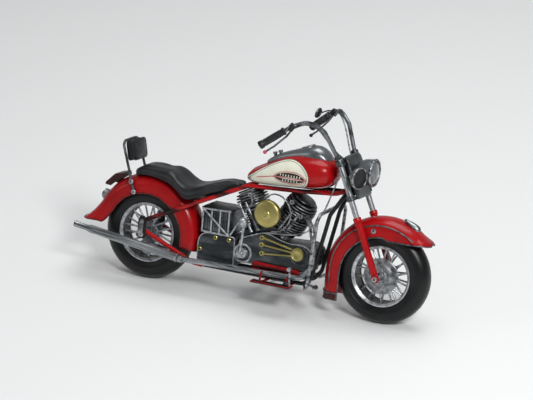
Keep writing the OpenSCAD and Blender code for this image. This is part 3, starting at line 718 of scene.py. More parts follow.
# ---------- front mudguard ----------
# The same fold over the front wheel: a long flap behind, a level lip in front drawn out to a
# blunt nose, and a side bead where the skirt is soldered to the crown.
# bare wire beads: dull grey with silver rubbed along the top
bead_grey = antiqued("bare_bead_wire", "#777B7E", "#3A3D40", "#141516", "#B5B8BB", brush=4,
                     deepen=(0.4, 0.65), metallic=0.8, rough=(0.3, 0.45))
front_guard_r = 57.0
front_skirt = 18.5
lip_z = 36.5
tail_out = 1.6
front_stations = [(wheelbase - front_guard_r - tail_out, z, 180, front_skirt - 0.5, guard_half)
                  for z in (17, 21, 28, 37)]
for a in range(180, 89, -9):
    r = front_guard_r + tail_out * max(0, (a - 140) / 40)
    front_stations.append((*on_arc(wheelbase, r, a), a, front_skirt, guard_half))
for a in (82, 74, 66, 58, 51):
    front_stations.append((*on_arc(wheelbase, front_guard_r, a), a,
                           front_guard_r - lip_z / math.sin(math.radians(a)), guard_half))
front_stations += [(291.5, 87.6, 50, 5, 13.6), (295, 86, 58, 3.4, 9), (297.0, 85, 62, 2.6, 4)]
bead_r, bead_y = 50.2, guard_half + 0.15
bead_line = [on_arc(wheelbase, bead_r, a) for a in range(52, 181, 4)] + [(wheelbase - bead_r, 34)]
side_bead = [[(x, y, z) for x, z in bead_line] for y in (-bead_y, bead_y)]
assemble("front_mudguard_folded", "steering", "red_enamel",
         folded_guard(smooth(front_stations, 3), red_enamel, bead_grey), "front_mudguard")
assemble("front_guard_beads", "steering", "bright_steel",
         [rods(side_bead, 0.7, bead_grey, bend=1, sides=10)], "guard_bead")


# ---------- fuel tank ----------
# A teardrop of two pressed halves, widest over the engine, soldered along the middle and painted
# gloss red. Sections are rounded boxes whose middle, height and width follow the length.
tank_stations = [(101.7, 120.4, 0.9, 3.6), (103.2, 120.8, 3.2, 8.4), (108, 121.9, 6.6, 12.8),
                 (120, 125.0, 10.0, 17.4), (135, 129.6, 13.5, 20.9), (150, 132.9, 15.7, 22.7),
                 (165, 134.8, 16.2, 22.8), (178, 135.6, 15.2, 21.6), (187, 135.8, 12.6, 18.8),
                 (192, 135.8, 8.4, 13.6), (194.3, 135.8, 2.6, 5)]
tank_skin = smooth(tank_stations, 8)
square = 2.5


def rounded_box(half_width, half_height, count=64, power=2.5):
    """A ring of sideways and upward distances on a rounded box."""
    ring = []
    for i in range(count):
        a = 2 * math.pi * i / count
        c, s = math.cos(a), math.sin(a)
        ring.append((math.copysign(abs(c) ** (2 / power), c) * half_width,
                     math.copysign(abs(s) ** (2 / power), s) * half_height))
    return ring


def lofted(rings, material):
    """A skin through rings of equal count, its two ends drawn to their middle points."""
    shape = bmesh.new()
    grid = [[shape.verts.new(p) for p in ring] for ring in rings]
    for a, b in zip(grid, grid[1:]):
        for i in range(len(a)):
            j = (i + 1) % len(a)
            shape.faces.new((a[i], a[j], b[j], b[i]))
    for ring in (grid[0], grid[-1]):
        middle = shape.verts.new(sum((v.co for v in ring), Vector()) / len(ring))
        for i in range(len(ring)):
            shape.faces.new((ring[i], ring[(i + 1) % len(ring)], middle))
    return meshed(shape, material)


tank_rings = [[(x, y, middle + z) for y, z in rounded_box(wide, high, power=square)]
              for x, middle, high, wide in tank_skin]
seam = [(x, 0, middle + high + 0.1) for x, middle, high, wide in tank_skin[4:-3:4]]
under = [(x, 0, middle - high - 0.1) for x, middle, high, wide in tank_skin[4:-3:4]]
assemble("fuel_tank_pressed", "chassis", "red_enamel",
         [lofted(tank_rings, red_enamel), rods([seam, under], 0.7, red_enamel, sides=10)],
         "fuel_tank", crease=60)


# ---------- tank panels ----------
# A thin pressed teardrop plate on each side in cream enamel, with a fine dark line near its edge
# and a red line along it that opens round the badge. The lines are raised paint.
def tank_side(x, z):
    """How far out the tank's skin lies at a point of the side view."""
    for one, two in zip(tank_skin, tank_skin[1:]):
        if one[0] <= x <= two[0]:
            t = (x - one[0]) / (two[0] - one[0])
            middle, high, wide = (a + (b - a) * t for a, b in zip(one[1:], two[1:]))
            rise = min(abs(z - middle) / high, 0.999)
            return wide * (1 - rise ** square) ** (1 / square)
    return tank_skin[0][3]


def plate_on_tank(outline, middle, lift, material, side):
    """A closed plate that lies on the tank, with its outline and middle in the side view."""
    scales = [(1.0, -0.3), (1.0, lift * 0.5), (0.988, lift * 0.9), (0.97, lift)]
    scales += [(s, lift) for s in (0.85, 0.65, 0.4, 0.2)]
    rings = []
    for scale, out in scales:
        ring = []
        for x, z in outline:
            px, pz = (m + (v - m) * scale for m, v in zip(middle, (x, z)))
            ring.append((px, side * (tank_side(px, pz) + out), pz))
        rings.append(ring)
    return lofted(rings, material)


def line_on_tank(path, width, lift, material, side, closed=False):
    """A raised painted line along a path in the side view."""
    points = path + (path[:1] if closed else [])
    raised = [(x, side * (tank_side(x, z) + lift), z) for x, z in points]
    return rods([raised], width / 2, material, bend=0.2, sides=8)


# cream enamel, brushed and varnished: yellowed in patches, brown wash held at the edge
cream_enamel = antiqued("yellowed_cream_enamel", "#E3E3D2", "#CFCDB4", "#5B5644", "#D9D7C4",
                        brush=16, deepen=(0.5, 0.85), wash_reach=1.5, wash_most=0.8,
                        rub_most=0.1, rough=(0.26, 0.38), gloss=0.4)
# thin brushed line, brown-black
lining_dark = antiqued("dark_lining_paint", "#2C2B26", "#4A483F", "#0A0A09", "#6A6858", brush=3,
                       rub_most=0.2)
# red line gone pink where the cream shows through
lining_red = antiqued("red_lining_paint", "#B5283A", "#D0606A", "#3A0A0E", "#D98A90", brush=3,
                      rub_most=0.2)
panel_points = [(102.6, 119.4), (110, 125), (120, 132), (131, 138.6), (142, 143.8), (151, 146),
                (159, 145.3), (166.5, 141.5), (171.5, 135), (172, 128.5), (169, 123),
                (163.5, 119.6), (153, 118.2), (138, 117.2), (122, 116.6), (110, 117.2)]
panel_outline = smooth(panel_points + panel_points[:1], 4)[:-1]
panel_middle = (150, 131)
badge_top = [(137.4, 129), (141, 131.6), (149, 133.8), (159, 134.2), (166, 132), (169, 129.4)]
badge_low = [(169, 128.2), (166, 126.4), (158, 124.4), (148, 124.4), (140, 126.2), (137.4, 128)]
inner = [tuple(m + (v - m) * 0.925 for m, v in zip(panel_middle, p)) for p in panel_outline]
badge_line = [(153 + (x - 153) * 1.07, 129 + (z - 129) * 1.2)
              for x, z in smooth(badge_top, 5) + smooth(badge_low, 5)]
tail_line = [(104.6, 119.9), (120, 124.4), (136.5, 128.3)]
panels, lines = [], []
for side in (-1, 1):
    panels.append(plate_on_tank(panel_outline, panel_middle, 0.6, cream_enamel, side))
    lines.append(line_on_tank(panel_outline, 0.75, 0.15, lining_dark, side, closed=True))
    lines.append(line_on_tank(inner, 0.42, 0.62, lining_dark, side, closed=True))
    lines.append(line_on_tank(tail_line, 0.9, 0.6, lining_red, side))
    lines.append(line_on_tank([(136, 128.3), (153, 129),
                               (171, 128.9)], 0.7, 1.0, lining_red, side))
    lines.append(line_on_tank(badge_line, 0.6, 0.6, lining_red, side, closed=True))
assemble("tank_panels_cream", "chassis", "cream_paint", panels, "tank_panels", crease=60)
assemble("tank_panel_lining", "chassis", "badge_paint", lines)

# ---------- tank badges ----------
# A plain almond-shaped device on each panel: dark paint split by the red line, with two rows of
# short cream bars laid on it. It says nothing.
# black enamel with a trace of brown, a little glossier than the cream round it
badge_black = antiqued("badge_black_enamel", "#15100F", "#241A18", "#050303", "#4A3A38", brush=3,
                       rub_most=0.2, rough=(0.25, 0.38), gloss=0.4)
bar_rows = ((143.5, 8, 131.4, 2.1), (146, 6, 126.3, 1.7))
badges = []
for side in (-1, 1):
    for half, middle in ((badge_top, (153, 131)), (badge_low, (153, 126.6))):
        badges.append(plate_on_tank(smooth(half, 5), middle, 0.95, badge_black, side))
    for first, count, height, size in bar_rows:
        for x in [first + 2.9 * i for i in range(count)]:
            bar = [(x, height - size / 2), (x + 0.35, height + size / 2)]
            badges.append(line_on_tank(bar, 1.0, 0.95, cream_enamel, side))
assemble("tank_badges_plain", "chassis", "badge_paint", badges, "tank_badges", crease=60)

# ---------- dash console ----------
# A pressed cowl over the tank seam, low and narrow behind and swelling to a dial housing that
# faces the rider, with two filler caps at its tail. The dial lies in its rear slope.
# pewter polished by handling: clear soft reflections, near-black in the folds
polished_pewter = antiqued("polished_pewter", "#868B8E", "#3A3E41", "#0B0C0D", "#D6D9DB", brush=20,
                           stretch=(2.5, 1, 1), deepen=(0.42, 0.7), wash_reach=4, wash_most=0.9,
                           rub_reach=0.8, metallic=0.85, rough=(0.24, 0.34), dent=0.01)
console_stations = [(119.5, 135.4, 1.0, 1.6), (121.5, 137.2, 2.6, 4), (130, 141.4, 4.2, 6.2),
                    (140, 145.2, 5.0, 7.4), (150, 147.8, 6.2, 8.6), (159, 149.4, 8.0, 10.4),
                    (167, 150.2, 9.6, 11.9), (174, 150.0, 9.8, 11.9), (180, 148.6, 8.4, 10.4),
                    (185, 146.2, 6.2, 8), (188.5, 143.6, 3.0, 4)]
console_rings = [[(x, y, middle + (z if z > 0 else z * 0.8))
                  for y, z in rounded_box(wide, high, 48, 2.2)]
                 for x, middle, high, wide in smooth(console_stations, 5)]
dial_at = (161, 0, 157.2)
dial_faces = (-0.38, 0, 1)
bezel = turned([(-3, 0), (-3, 7.0), (0.2, 7.2), (1.1, 7.0), (1.5, 6.4), (1.2, 5.9), (0.5, 5.8),
                (0.4, 0)], polished_pewter, dial_at, dial_faces)
cap = [(-2, 0), (-2, 1.7), (2.4, 1.7), (2.5, 2.2), (3.3, 2.3), (4.3, 2.2), (4.7, 1.7), (4.8, 0)]
caps = [turned(cap, polished_pewter, (x, 0, z), (-0.3, 0, 1), steps=20)
        for x, z in ((127.5, 143), (133, 145.4))]
assemble("dash_cowl_pressed", "chassis", "dark_steel",
         [lofted(console_rings, polished_pewter), bezel, *caps], "dash_console", crease=45)
# white enamel gone cream, for the dial
dial_white = antiqued("dial_face_enamel", "#D8D6C8", "#BDBBAA", "#3A3930", "#E8E6D8", brush=5,
                      rub_most=0.1)
face = turned([(0, 0), (0, 5.75), (0.5, 5.75), (0.55, 0)], dial_white, dial_at, dial_faces)
dial_place = Matrix.Translation(dial_at) @ (
    Vector(dial_faces).to_track_quat("Z", "X").to_matrix().to_4x4())
mark_lines = [[(math.cos(a) * r, math.sin(a) * r, 0.62) for r in (4.3, 5.2)]
              for a in [math.tau * i / 24 for i in range(24)]]
marks = rods(mark_lines, 0.13, lining_dark, sides=6)
needle = rods([[(-1.2, 0.5, 0.75), (3.9, -1.6, 0.75)]], 0.22, lining_red, sides=6)
for mesh in (marks, needle):
    mesh.transform(dial_place)
assemble("dash_dial", "chassis", "cream_paint", [face, needle, marks])


# ---------- saddle ----------
# A two-step saddle pressed from sheet and painted satin black to look like leather: a raised
# pillion, a dished rider's seat that spreads at its sides, and a nose that reaches the tank.
seat_stations = [(-16.6, 104.4, 107.2, 7), (-15, 103.6, 110.4, 12), (-8, 104.4, 113.6, 15.6),
                 (4, 105.2, 113.9, 17.6), (15, 103.4, 113.2, 18.8), (23, 101, 113.4, 19.8),
                 (29, 97.8, 110.6, 21), (35, 93.6, 105.4, 22.6), (42, 88.6, 101.6, 24),
                 (49, 88.4, 101.4, 24.6), (58, 92.6, 103.8, 23.4), (68, 97.6, 107.4, 19.8),
                 (78, 101.2, 110.6, 15.6), (88, 104.6, 113, 11.6), (94, 106.8, 113.2, 8.6),
                 (96.8, 108.6, 111.4, 4.6)]
seat_half = [(0, 0.02), (0.5, 0.0), (0.84, 0.02), (0.95, 0.16), (0.955, 0.42), (1.0, 0.66),
             (0.985, 0.8), (0.9, 0.93), (0.68, 1.0), (0.35, 0.985), (0, 0.955)]
seat_ring = smooth([(-a, b) for a, b in seat_half[:0:-1]] + seat_half[:-1], 4, closed=True)
# satin black hide, smooth and close-grained: faint creases across, bluish grey in patches that are
# partly wear where it is sat on and partly painted sheen, near black in its hollows as painted shade
black_hide, tree, shader = finish("satin_black_hide")
# bluish grey patches: partly wear, partly painted sheen
sat_wear_and_sheen = ramp(tree, mottle(tree, 26, detail=3), 0.42, 0.75)
hide_with_wear_and_sheen = over(tree, sat_wear_and_sheen, "#0C0D0F", "#24282C")
# painted shade: the hide goes near black in its hollows
fold_painted_shade = times(tree, hollows(tree, 5, 0.4, 0.95), 0.85)
tree.links.new(over(tree, fold_painted_shade, hide_with_wear_and_sheen, "#030303"), shader.inputs["Base Color"])
tree.links.new(ramp(tree, mottle(tree, 12), 0.3, 0.7, 0.34, 0.48), shader.inputs["Roughness"])
where = add(tree, "ShaderNodeTexCoord")
pores = add(tree, "ShaderNodeTexVoronoi", {"Vector": where.outputs["Object"]}, Scale=1000 / 0.9)
grained = add(tree, "ShaderNodeBump", {"Height": pores.outputs["Distance"]}, Strength=0.25,
              Distance=0.00004)
soft = add(tree, "ShaderNodeBump", {"Height": mottle(tree, 9, stretch=(1, 2.5, 1)),
                                    "Normal": grained.outputs[0]}, Strength=0.5, Distance=0.0003)
tree.links.new(soft.outputs[0], shader.inputs["Normal"])
shader.inputs["Specular IOR Level"].default_value = 0.4


def plump(name, rings, material, swell, keep):
    """Fills a lofted form with air as cloth and returns the plain mesh. It is blown up at big
    units a millimetre, a scale that the cloth solver is made for, and no point moves further than
    keep millimetres."""
    mesh = lofted(rings, material)
    big, steps = 0.02, 20
    mesh.transform(Matrix.Scale(big, 4))
    pad = bpy.data.objects.new(name, mesh)
    scene.collection.objects.link(pad)
    before = [v.co.copy() for v in mesh.vertices]
    cloth = pad.modifiers.new("air", "CLOTH")
    cloth.settings.quality = 6
    cloth.settings.mass = 0.3
    cloth.settings.tension_stiffness = cloth.settings.compression_stiffness = 18
    cloth.settings.bending_stiffness = 6
    cloth.settings.use_pressure = True
    cloth.settings.uniform_pressure_force = swell
    cloth.settings.effector_weights.gravity = 0
    cloth.point_cache.frame_end = steps
    for number in range(1, steps + 1):
        scene.frame_set(number)
    graph = bpy.context.evaluated_depsgraph_get()
    blown = bpy.data.meshes.new_from_object(pad.evaluated_get(graph), depsgraph=graph)
    for vertex, was in zip(blown.vertices, before):
        moved = vertex.co - was
        if moved.length > keep * big:
            vertex.co = was + moved.normalized() * keep * big
    bpy.data.objects.remove(pad)
    scene.frame_set(1)
    blown.transform(Matrix.Scale(1 / big, 4))
    return blown


seat_rings = []
for x, low, high, wide in smooth(seat_stations, 5):
    floor_line = math.sqrt(max(rear_guard_r ** 2 - x * x, 0)) + hub + 0.5 if x < 50 else 0
    low = max(low, floor_line) if floor_line < high - 4 else low
    seat_rings.append([(x, a * wide, low + b * (high - low)) for a, b in seat_ring])
seat_mesh = plump("saddle_form", seat_rings, black_hide, 3.0, 1.2)
seat = assemble("saddle_padded", "chassis", "seat_leather", [seat_mesh], "saddle", crease=80)

# ---------- backrest ----------
# A small box pad folded round a bent hoop of dark wire, which runs down both sides of the rear
# mudguard and is soldered on through two eyelets a side. The pad is black hide with a piped edge.
rest_at = Vector((-22, 0, 126.5))
rest_tilt = Matrix.Rotation(math.radians(-12), 4, "Y")
rest_half = (14.6, 9.8)


def on_rest(points):
    """Moves points drawn round the middle of the backrest to where it leans."""
    return [tuple(rest_at + rest_tilt @ Vector(p)) for p in points]


rest_rings = []
for depth, size in ((-3.6, 0.80), (-3.5, 0.93), (-2.9, 0.985), (-1.6, 1.0), (0, 1.0), (1.6, 1.0),
                    (2.9, 0.985), (3.5, 0.93), (3.9, 0.8), (4.15, 0.55), (4.2, 0.25)):
    ring = [(depth - (0.25 if depth > 0 else 0) * (size > 0.9), y * size, z * size)
            for y, z in rounded_box(*rest_half, 64, 7)]
    rest_rings.append(on_rest(ring))
rest_mesh = plump("backrest_form", rest_rings, black_hide, 2.0, 0.9)
piping = []
for depth in (-2.9, 2.9):
    loop = [(depth, y, z) for y, z in rounded_box(*[half + 0.15 for half in rest_half], 64, 7)]
    piping.append(on_rest(loop + loop[:1]))
rest = assemble("backrest_pad_folded", "chassis", "seat_leather",
                [rest_mesh, rods(piping, 0.45, black_hide, bend=0.2, sides=8)], "backrest_pad",
                crease=80)

eyelet = [(-1.0, 0.95), (-1.0, 2.0), (-0.7, 2.4), (0.4, 2.4), (0.7, 2.1), (0.7, 0.95)]
hoop = [(-13.5, 17, 87), (-17, 17, 97), (-28.6, 16.6, 132), (-29.6, 12, 135.4), (-29.6, 0, 135.6)]
hoop_path = hoop + [(x, -y, z) for x, y, z in reversed(hoop[:-1])]
hoop_parts = [rods([hoop_path], 1.3, dark_pewter, bend=5)]
hoop_parts += [turned(eyelet, spoke_silver, (x, side * 18.4, z), (0, side, 0), steps=24, ring=True)
               for side in (-1, 1) for x, z in ((-17, 97), (-13.5, 87))]
assemble("backrest_hoop", "chassis", "dark_steel", hoop_parts, "backrest_bar")

# ---------- tail lamp ----------
# A bullet lamp on the mudguard's tail: turned pewter body, red glass facing back. Over it a bent
# strip, the number-plate holder, keeps its dark maroon underpaint.
lamp_body = [(-9.2, 0), (-9.2, 4.9), (-7.6, 5.4), (-1.4, 5.8), (0, 6.2), (0.6, 6.2), (0.9, 5.7),
             (0.9, 0)]
# deep red glass, nearly black unlit, with a sharp highlight
red_glass, tree, shader = finish("red_lamp_glass")
tint = over(tree, ramp(tree, mottle(tree, 3), 0.4, 0.7), "#5E0A0E", "#35060A")
tree.links.new(tint, shader.inputs["Base Color"])
tree.links.new(ramp(tree, mottle(tree, 2), 0.3, 0.7, 0.1, 0.2), shader.inputs["Roughness"])
shader.inputs["Coat Weight"].default_value = 0.6
tail_lamp_at = (-52.2, 0, 75)
assemble("tail_lamp_body", "chassis", "bright_steel",
         [turned(lamp_body, streaked_silver, tail_lamp_at, (-1, 0, 0), steps=40)], "tail_lamp")
assemble("tail_lamp_glass", "chassis", "red_enamel",
         [turned([(0.3, 0), (0.3, 5.2), (1.4, 4.9), (3.0, 3.9), (4.0, 2.3), (4.4, 0)], red_glass,
                 tail_lamp_at, (-1, 0, 0), steps=40)])
# dark maroon underpaint: dull, close to black, rubbed grey on the folds
maroon = antiqued("maroon_underpaint", "#3E1113", "#1C0909", "#0A0303", "#6E5A58", brush=8,
                  rough=(0.3, 0.45), gloss=0.35)
number_plate = frame["nodes"]["tail_plate"].data
number_plate.materials.clear()
number_plate.materials.append(maroon)


# ---------- boxes behind the engine ----------
# A folded box under the saddle with a cage of bright wire soldered on its right side, and below
# it a gearbox with a flat cover held by three brass eyelets. Pewter paint, dark in the folds.
in_a_row = copy_tree("row_of_pieces", False)


def row_of(mesh, count, step, material):
    """Copies of a mesh in a row, each moved on by step."""
    return grow(in_a_row, mesh, count=count, step=tuple(float(s) for s in step), finish=material)


def at_each(mesh, places):
    """A list of copies of a mesh, one moved to each place."""
    copies = [mesh.copy() for _ in places]
    for copy, place in zip(copies, places):
        copy.transform(Matrix.Translation(place))
    return copies


def box_of(low, high, material, soften):
    """A folded sheet box between two corners, with its edges eased."""
    shape = bmesh.new()
    bmesh.ops.create_cube(shape, size=1)
    for v in shape.verts:
        v.co = [low[i] + (v.co[i] + 0.5) * (high[i] - low[i]) for i in range(3)]
    bmesh.ops.bevel(shape, geom=shape.edges[:], offset=soften, segments=3, affect="EDGES",
                    profile=0.5)
    return meshed(shape, material)


cage_y = -16.7
battery = [box_of((61.5, -15.5, 60), (92.5, 15.5, 83.6), dark_pewter, 1.0),
           box_of((60.9, -16.1, 82.4), (93.1, 16.1, 85.2), dark_pewter, 0.7)]
rib = box_of((65.2, -15.9, 62.5), (66.6, -15.2, 81), dark_pewter, 0.25)
battery.append(row_of(rib, 7, (4.1, 0, 0), dark_pewter))
assemble("battery_box_folded", "chassis", "dark_steel", battery, "battery_box")
bars = [[(62, cage_y, 83.4), (93, cage_y, 84.6)], [(63, cage_y, 61.4), (63.2, cage_y, 83.6)],
        [(72.5, cage_y, 61), (72.5, cage_y, 83.8)], [(81.5, cage_y, 61), (81.6, cage_y, 84)],
        [(91, cage_y, 60.6), (91, cage_y, 84.6)], [(62.4, cage_y, 61), (91.4, cage_y, 60.4)],
        [(64, cage_y - 0.9, 83), (91.4, cage_y - 0.9, 60.8)],
        [(101, cage_y, 75), (93.6, cage_y, 61.5)]]
blob = turned([(0, 1.0), (0.3, 1.5), (0.9, 1.4), (1.4, 0.7)], spoke_silver, steps=12)
blobs = at_each(blob, [(x, cage_y + 0.2, z)
                       for x, z in ((63, 83.2), (91, 84.4), (64, 83), (91.2, 61))])
assemble("battery_cage_wire", "chassis", "bright_steel",
         [rods(bars, 0.95, spoke_silver, sides=14)] + blobs, "battery_cage")

gear_outline = rounded([(60, 30), (99, 30), (99, 60), (68, 60), (62.5, 57), (60, 51)], 4)
gearbox = [box_of((62, -14, 31), (100, 14, 59), dark_pewter, 1.5),
           cut_plate(gear_outline, -17, -13.9, dark_pewter, 0.8),
           rods([[(x, -16.8, z) for x, z in gear_outline + gear_outline[:1]]], 0.45, spoke_silver,
                bend=0.5, sides=10)]
assemble("gearbox_cover_cast", "chassis", "dark_steel", gearbox, "gearbox_cover", crease=30)

# antique brass: gold-brown where it was buffed, olive and dull in the hollows
antique_brass = antiqued("antique_brass", "#B7AB6C", "#8D824C", "#29240F", "#EAE3B0", brush=26,
                         deepen=(0.4, 0.75), wash_reach=1.6, wash_most=0.8, rub_reach=0.6,
                         rub_most=0.6, metallic=0.85, rough=(0.3, 0.36), dent=0.008)
rivet_ring = [(0, 1.0), (0, 2.1), (0.4, 2.3), (1.2, 2.2), (1.7, 1.6), (1.7, 1.1)]
assemble("rivets_brass", "chassis", "antique_brass",
         [turned(rivet_ring, antique_brass, (x, -16.9, z), steps=24, ring=True)
          for x, z in ((78.5, 56.5), (62.8, 43), (93, 56.5))], "rivets")

# ---------- crankcase ----------
# A folded case that carries everything, with a rounded neck between the two cylinders and a
# finned sump below. Pewter paint with black wash.
crank = Vector((132.5, 0, 50))
case = [box_of((101, -13.9, 36), (177, 13.9, 62.8), dark_pewter, 2.0),
        box_of((103, -10, 61), (119, 10, 69), dark_pewter, 1.2),
        box_of((118, -9, 27), (165, 9, 37), dark_pewter, 1.5)]
neck = turned([(0, 13.6), (0.8, 14.6), (1.4, 15), (21.6, 15), (22.2, 14.6), (23, 13.6)],
              dark_pewter, (crank.x, 11.5, 63), steps=56)
sump_rib = box_of((121, -10, 28), (122.2, 10, 35.6), dark_pewter, 0.3)
assemble("crankcase_folded", "chassis", "dark_steel",
         case + [neck, row_of(sump_rib, 9, (5.0, 0, 0), dark_pewter)], "crankcase", crease=30)

# ---------- cylinders ----------
# Two finned barrels in a vee. Thin fins cover the barrel and seven thick rounded ones wrap the
# head, all soldered to a core that stands on the crankcase.
# dark pewter over black: the gaps stay black, and the fins catch silver
brushed_fins = antiqued("dry_brushed_fins", "#474B4E", "#26292B", "#040505", "#D2D6D9", brush=5,
                        stretch=(2, 2, 1), deepen=(0.42, 0.68), wash_reach=3.2, wash_most=0.97,
                        rub_reach=0.7, rub_most=0.95, rub_break=(0.25, 0.5), metallic=0.75,
                        rough=(0.28, 0.44), dent=0.05)
# silver dragged over the fin rims only, broken where the brush skipped
rim_silver = antiqued("dragged_fin_silver", "#8F9396", "#2A2C2E", "#0A0B0B", "#DDE0E2", brush=7,
                      stretch=(1.5, 1.5, 0.5), deepen=(0.44, 0.6), wash_reach=1.0, wash_most=0.5,
                      rub_most=0.6, metallic=0.8, rough=(0.3, 0.42), dent=0.02)
vee = math.radians(28)
for end, side in (("rear", -1), ("front", 1)):
    axis = Vector((side * math.sin(vee), 0, math.cos(vee)))
    fin_disc = turned([(0, 0), (0, 14.6), (0.15, 15.6), (0.6, 16), (1.05, 15.6), (1.2, 14.6),
                       (1.2, 0)], brushed_fins, crank + axis * 30, axis, steps=64)
    fin_rim = turned([(0, 15.7), (0.2, 16.0), (0.6, 16.15), (1.0, 16.0), (1.2, 15.7), (0.6, 15.2)],
                     rim_silver, crank + axis * 30, axis, steps=64, ring=True)
    core = turned([(24, 0), (24, 11), (44, 11), (44, 12.4), (60, 12.4), (62.4, 10), (62.4, 0)],
                  brushed_fins, crank, axis, steps=56)
    head = []
    for k, r in enumerate((15.6, 16.1, 16.3, 16.2, 15.7, 14.5, 11.6)):
        head_fin = [(0, 0), (0, r - 1.6), (0.25, r - 0.6), (0.6, r - 0.15), (1.3, r - 0.15),
                    (1.65, r - 0.6), (1.9, r - 1.6), (1.9, 0)]
        rim = [(0.35, r - 0.5), (0.6, r - 0.1), (0.95, r), (1.3, r - 0.1), (1.55, r - 0.5),
               (0.95, r - 1)]
        foot = crank + axis * (46.4 + 2.72 * k)
        head.append(turned(head_fin, brushed_fins, foot, axis, steps=64))
        head.append(turned(rim, rim_silver, foot, axis, steps=64, ring=True))
    upright = axis.cross(Vector((0, 1, 0)))
    boss_at = crank + axis * 58.5 + upright * (6 * side) + Vector((0, -13.2, 0))
    boss_ring = [(0, 0.95), (0, 2.2), (1.9, 2.4), (2.5, 2.0), (2.5, 0.95)]
    boss = turned(boss_ring, spoke_silver, boss_at, steps=24, ring=True)
    low_at = crank + axis * 52 - upright * (9 * side) + Vector((0, -12.6, 0))
    boss_low = turned(boss_ring, spoke_silver, low_at, steps=24, ring=True)
    parts = [core, boss, boss_low, row_of(fin_disc, 6, axis * 2.65, brushed_fins),
             row_of(fin_rim, 6, axis * 2.65, rim_silver)]
    assemble(end + "_cylinder_finned", "chassis", "dark_steel", parts + head, end + "_cylinder",
             crease=50)

# ---------- pushrods and wires ----------
# Bright pushrod tubes stand beside each barrel, and soft wires stand for the control cables: one
# loops round the air cleaner and one comes down from the steering head to the cam cover.
push_y = -17.5
tubes = []
for side in (-1, 1):
    for k, foot in ((0, 71.5), (1, 68.5)):
        tubes.append([(crank.x + side * (9 + 7 * k), push_y, foot),
                      (crank.x + side * (25 + 6 * k), push_y, 97 - 3 * k)])
cup = [(0, 1.3), (0.3, 1.8), (2.1, 1.8), (2.4, 1.3)]
cups = []
for a, b in tubes:
    way = Vector(b) - Vector(a)
    cups += [turned(cup, streaked_silver, Vector(a) + way * t, way, steps=20) for t in (0.0, 0.42)]
assemble("pushrod_tubes", "chassis", "bright_steel",
         [rods(tubes, 1.2, streaked_silver, sides=16)] + cups, "pushrods")
loop_wire = smooth([(127, -19, 104), (133, -19.2, 108.4), (139, -19.6, 110.4), (147, -19.9, 108.6),
                    (153.6, -20, 102), (156.4, -20, 94), (155.6, -20, 86), (151, -20, 79),
                    (145, -20, 74.6), (138, -19.4, 73.4)], 5)
long_wire = smooth([(199, -13, 133), (195, -16.4, 118), (190.6, -18, 104), (184, -19, 91),
                    (176, -20, 80.6), (166, -20, 75.4), (154, -20, 73), (142, -19.8, 72.2),
                    (132, -18.6, 71)], 5)
back_wire = smooth([(108, -17, 88), (111, -18.4, 92), (114.4, -18.6, 96), (114, -18, 101),
                    (111, -17, 104)], 4)
assemble("engine_wires_soft", "chassis", "bright_steel",
         [rods([loop_wire, long_wire, back_wire], 0.75, streaked_silver, bend=1, sides=12)],
         "engine_wires")

# ---------- air cleaner ----------
# A drum spun from brass sheet with a rolled shoulder and a stamped boss, soldered to a stub from
# between the cylinders. The best-buffed piece of the machine.
cleaner_at = (134, -16.4, 91)
cleaner = [(0, 0), (0, 4.6), (3.6, 4.8), (4.1, 9), (4.3, 12.4), (4.7, 13.3), (5.4, 13.5),
           (8.6, 13.5), (9.5, 13.2), (10.3, 12.3), (10.9, 10.9), (11.25, 9), (11.4, 6.4),
           (11.35, 4.4), (11.5, 3.9), (12.0, 3.5), (12.3, 2.8), (12.2, 1.9), (11.9, 1.6),
           (12.0, 1.1), (12.5, 0.9), (12.6, 0)]
assemble("air_cleaner_spun", "chassis", "antique_brass",
         [turned(cleaner, antique_brass, cleaner_at, steps=96),
          rods([[(crank.x, -17, 89), (crank.x, 4, 89)]], 2.0, dark_pewter)], "air_cleaner",
         crease=60)

# ---------- cam cover ----------
# A long flat cover with a raised rim, a round kick-starter boss behind and a round brass points
# cover in front. Three brass control rods with eyelets run back from it.
cam_outline = rounded([(100, 37.5), (105, 61), (114, 65), (123, 68.6), (129, 70.6), (137, 70),
                       (146, 66.6), (157, 64.4), (172, 65), (179, 62), (182, 56), (182, 49),
                       (179, 42), (173, 37.4), (149, 38)], 4)
cam_middle = (142, 52)
rim_line = [tuple(m + (v - m) * 0.985 for m, v in zip(cam_middle, p)) for p in cam_outline]
rim_path = [(x, -18, z) for x, z in rim_line]
kick_at = (109, 46.5)
boss_profile = [(-1, 0), (-1, 9.0), (0.5, 9.0), (0.5, 5.6), (1.0, 5.0), (1.6, 0)]
boss_rim = [(-0.8, 8.6), (-0.6, 9.4), (0.4, 9.7), (1.0, 9.3), (1.2, 8.6), (0.9, 8.0), (0.4, 7.8)]
boss_hub = [(0.8, 0), (0.9, 5.0), (1.5, 5.1), (2.6, 4.6), (3.3, 3.4), (3.6, 2.0), (3.7, 1.5),
            (9.2, 1.5), (9.3, 2.2), (9.7, 2.6), (10.1, 2.4), (10.3, 1.2), (10.3, 0)]
boss_at = (kick_at[0], -17.9, kick_at[1])
kick_boss = [turned(boss_profile, dark_pewter, boss_at, steps=56),
             turned(boss_rim, spoke_silver, boss_at, steps=64, ring=True),
             turned(boss_hub, spoke_silver, boss_at, steps=40)]
nose = turned([(0, 9.6), (1.2, 9.6), (1.8, 9.0), (2.0, 8.2), (1.6, 7.6)], dark_pewter,
              (169, -16.8, 53))
assemble("cam_cover_pressed", "chassis", "dark_steel",
         [cut_plate(cam_outline, -18, -14, dark_pewter, 0.7),
          rods([rim_path + rim_path[:1]], 0.55, spoke_silver, bend=0.5, sides=10),
          nose] + kick_boss, "cam_cover", crease=30)
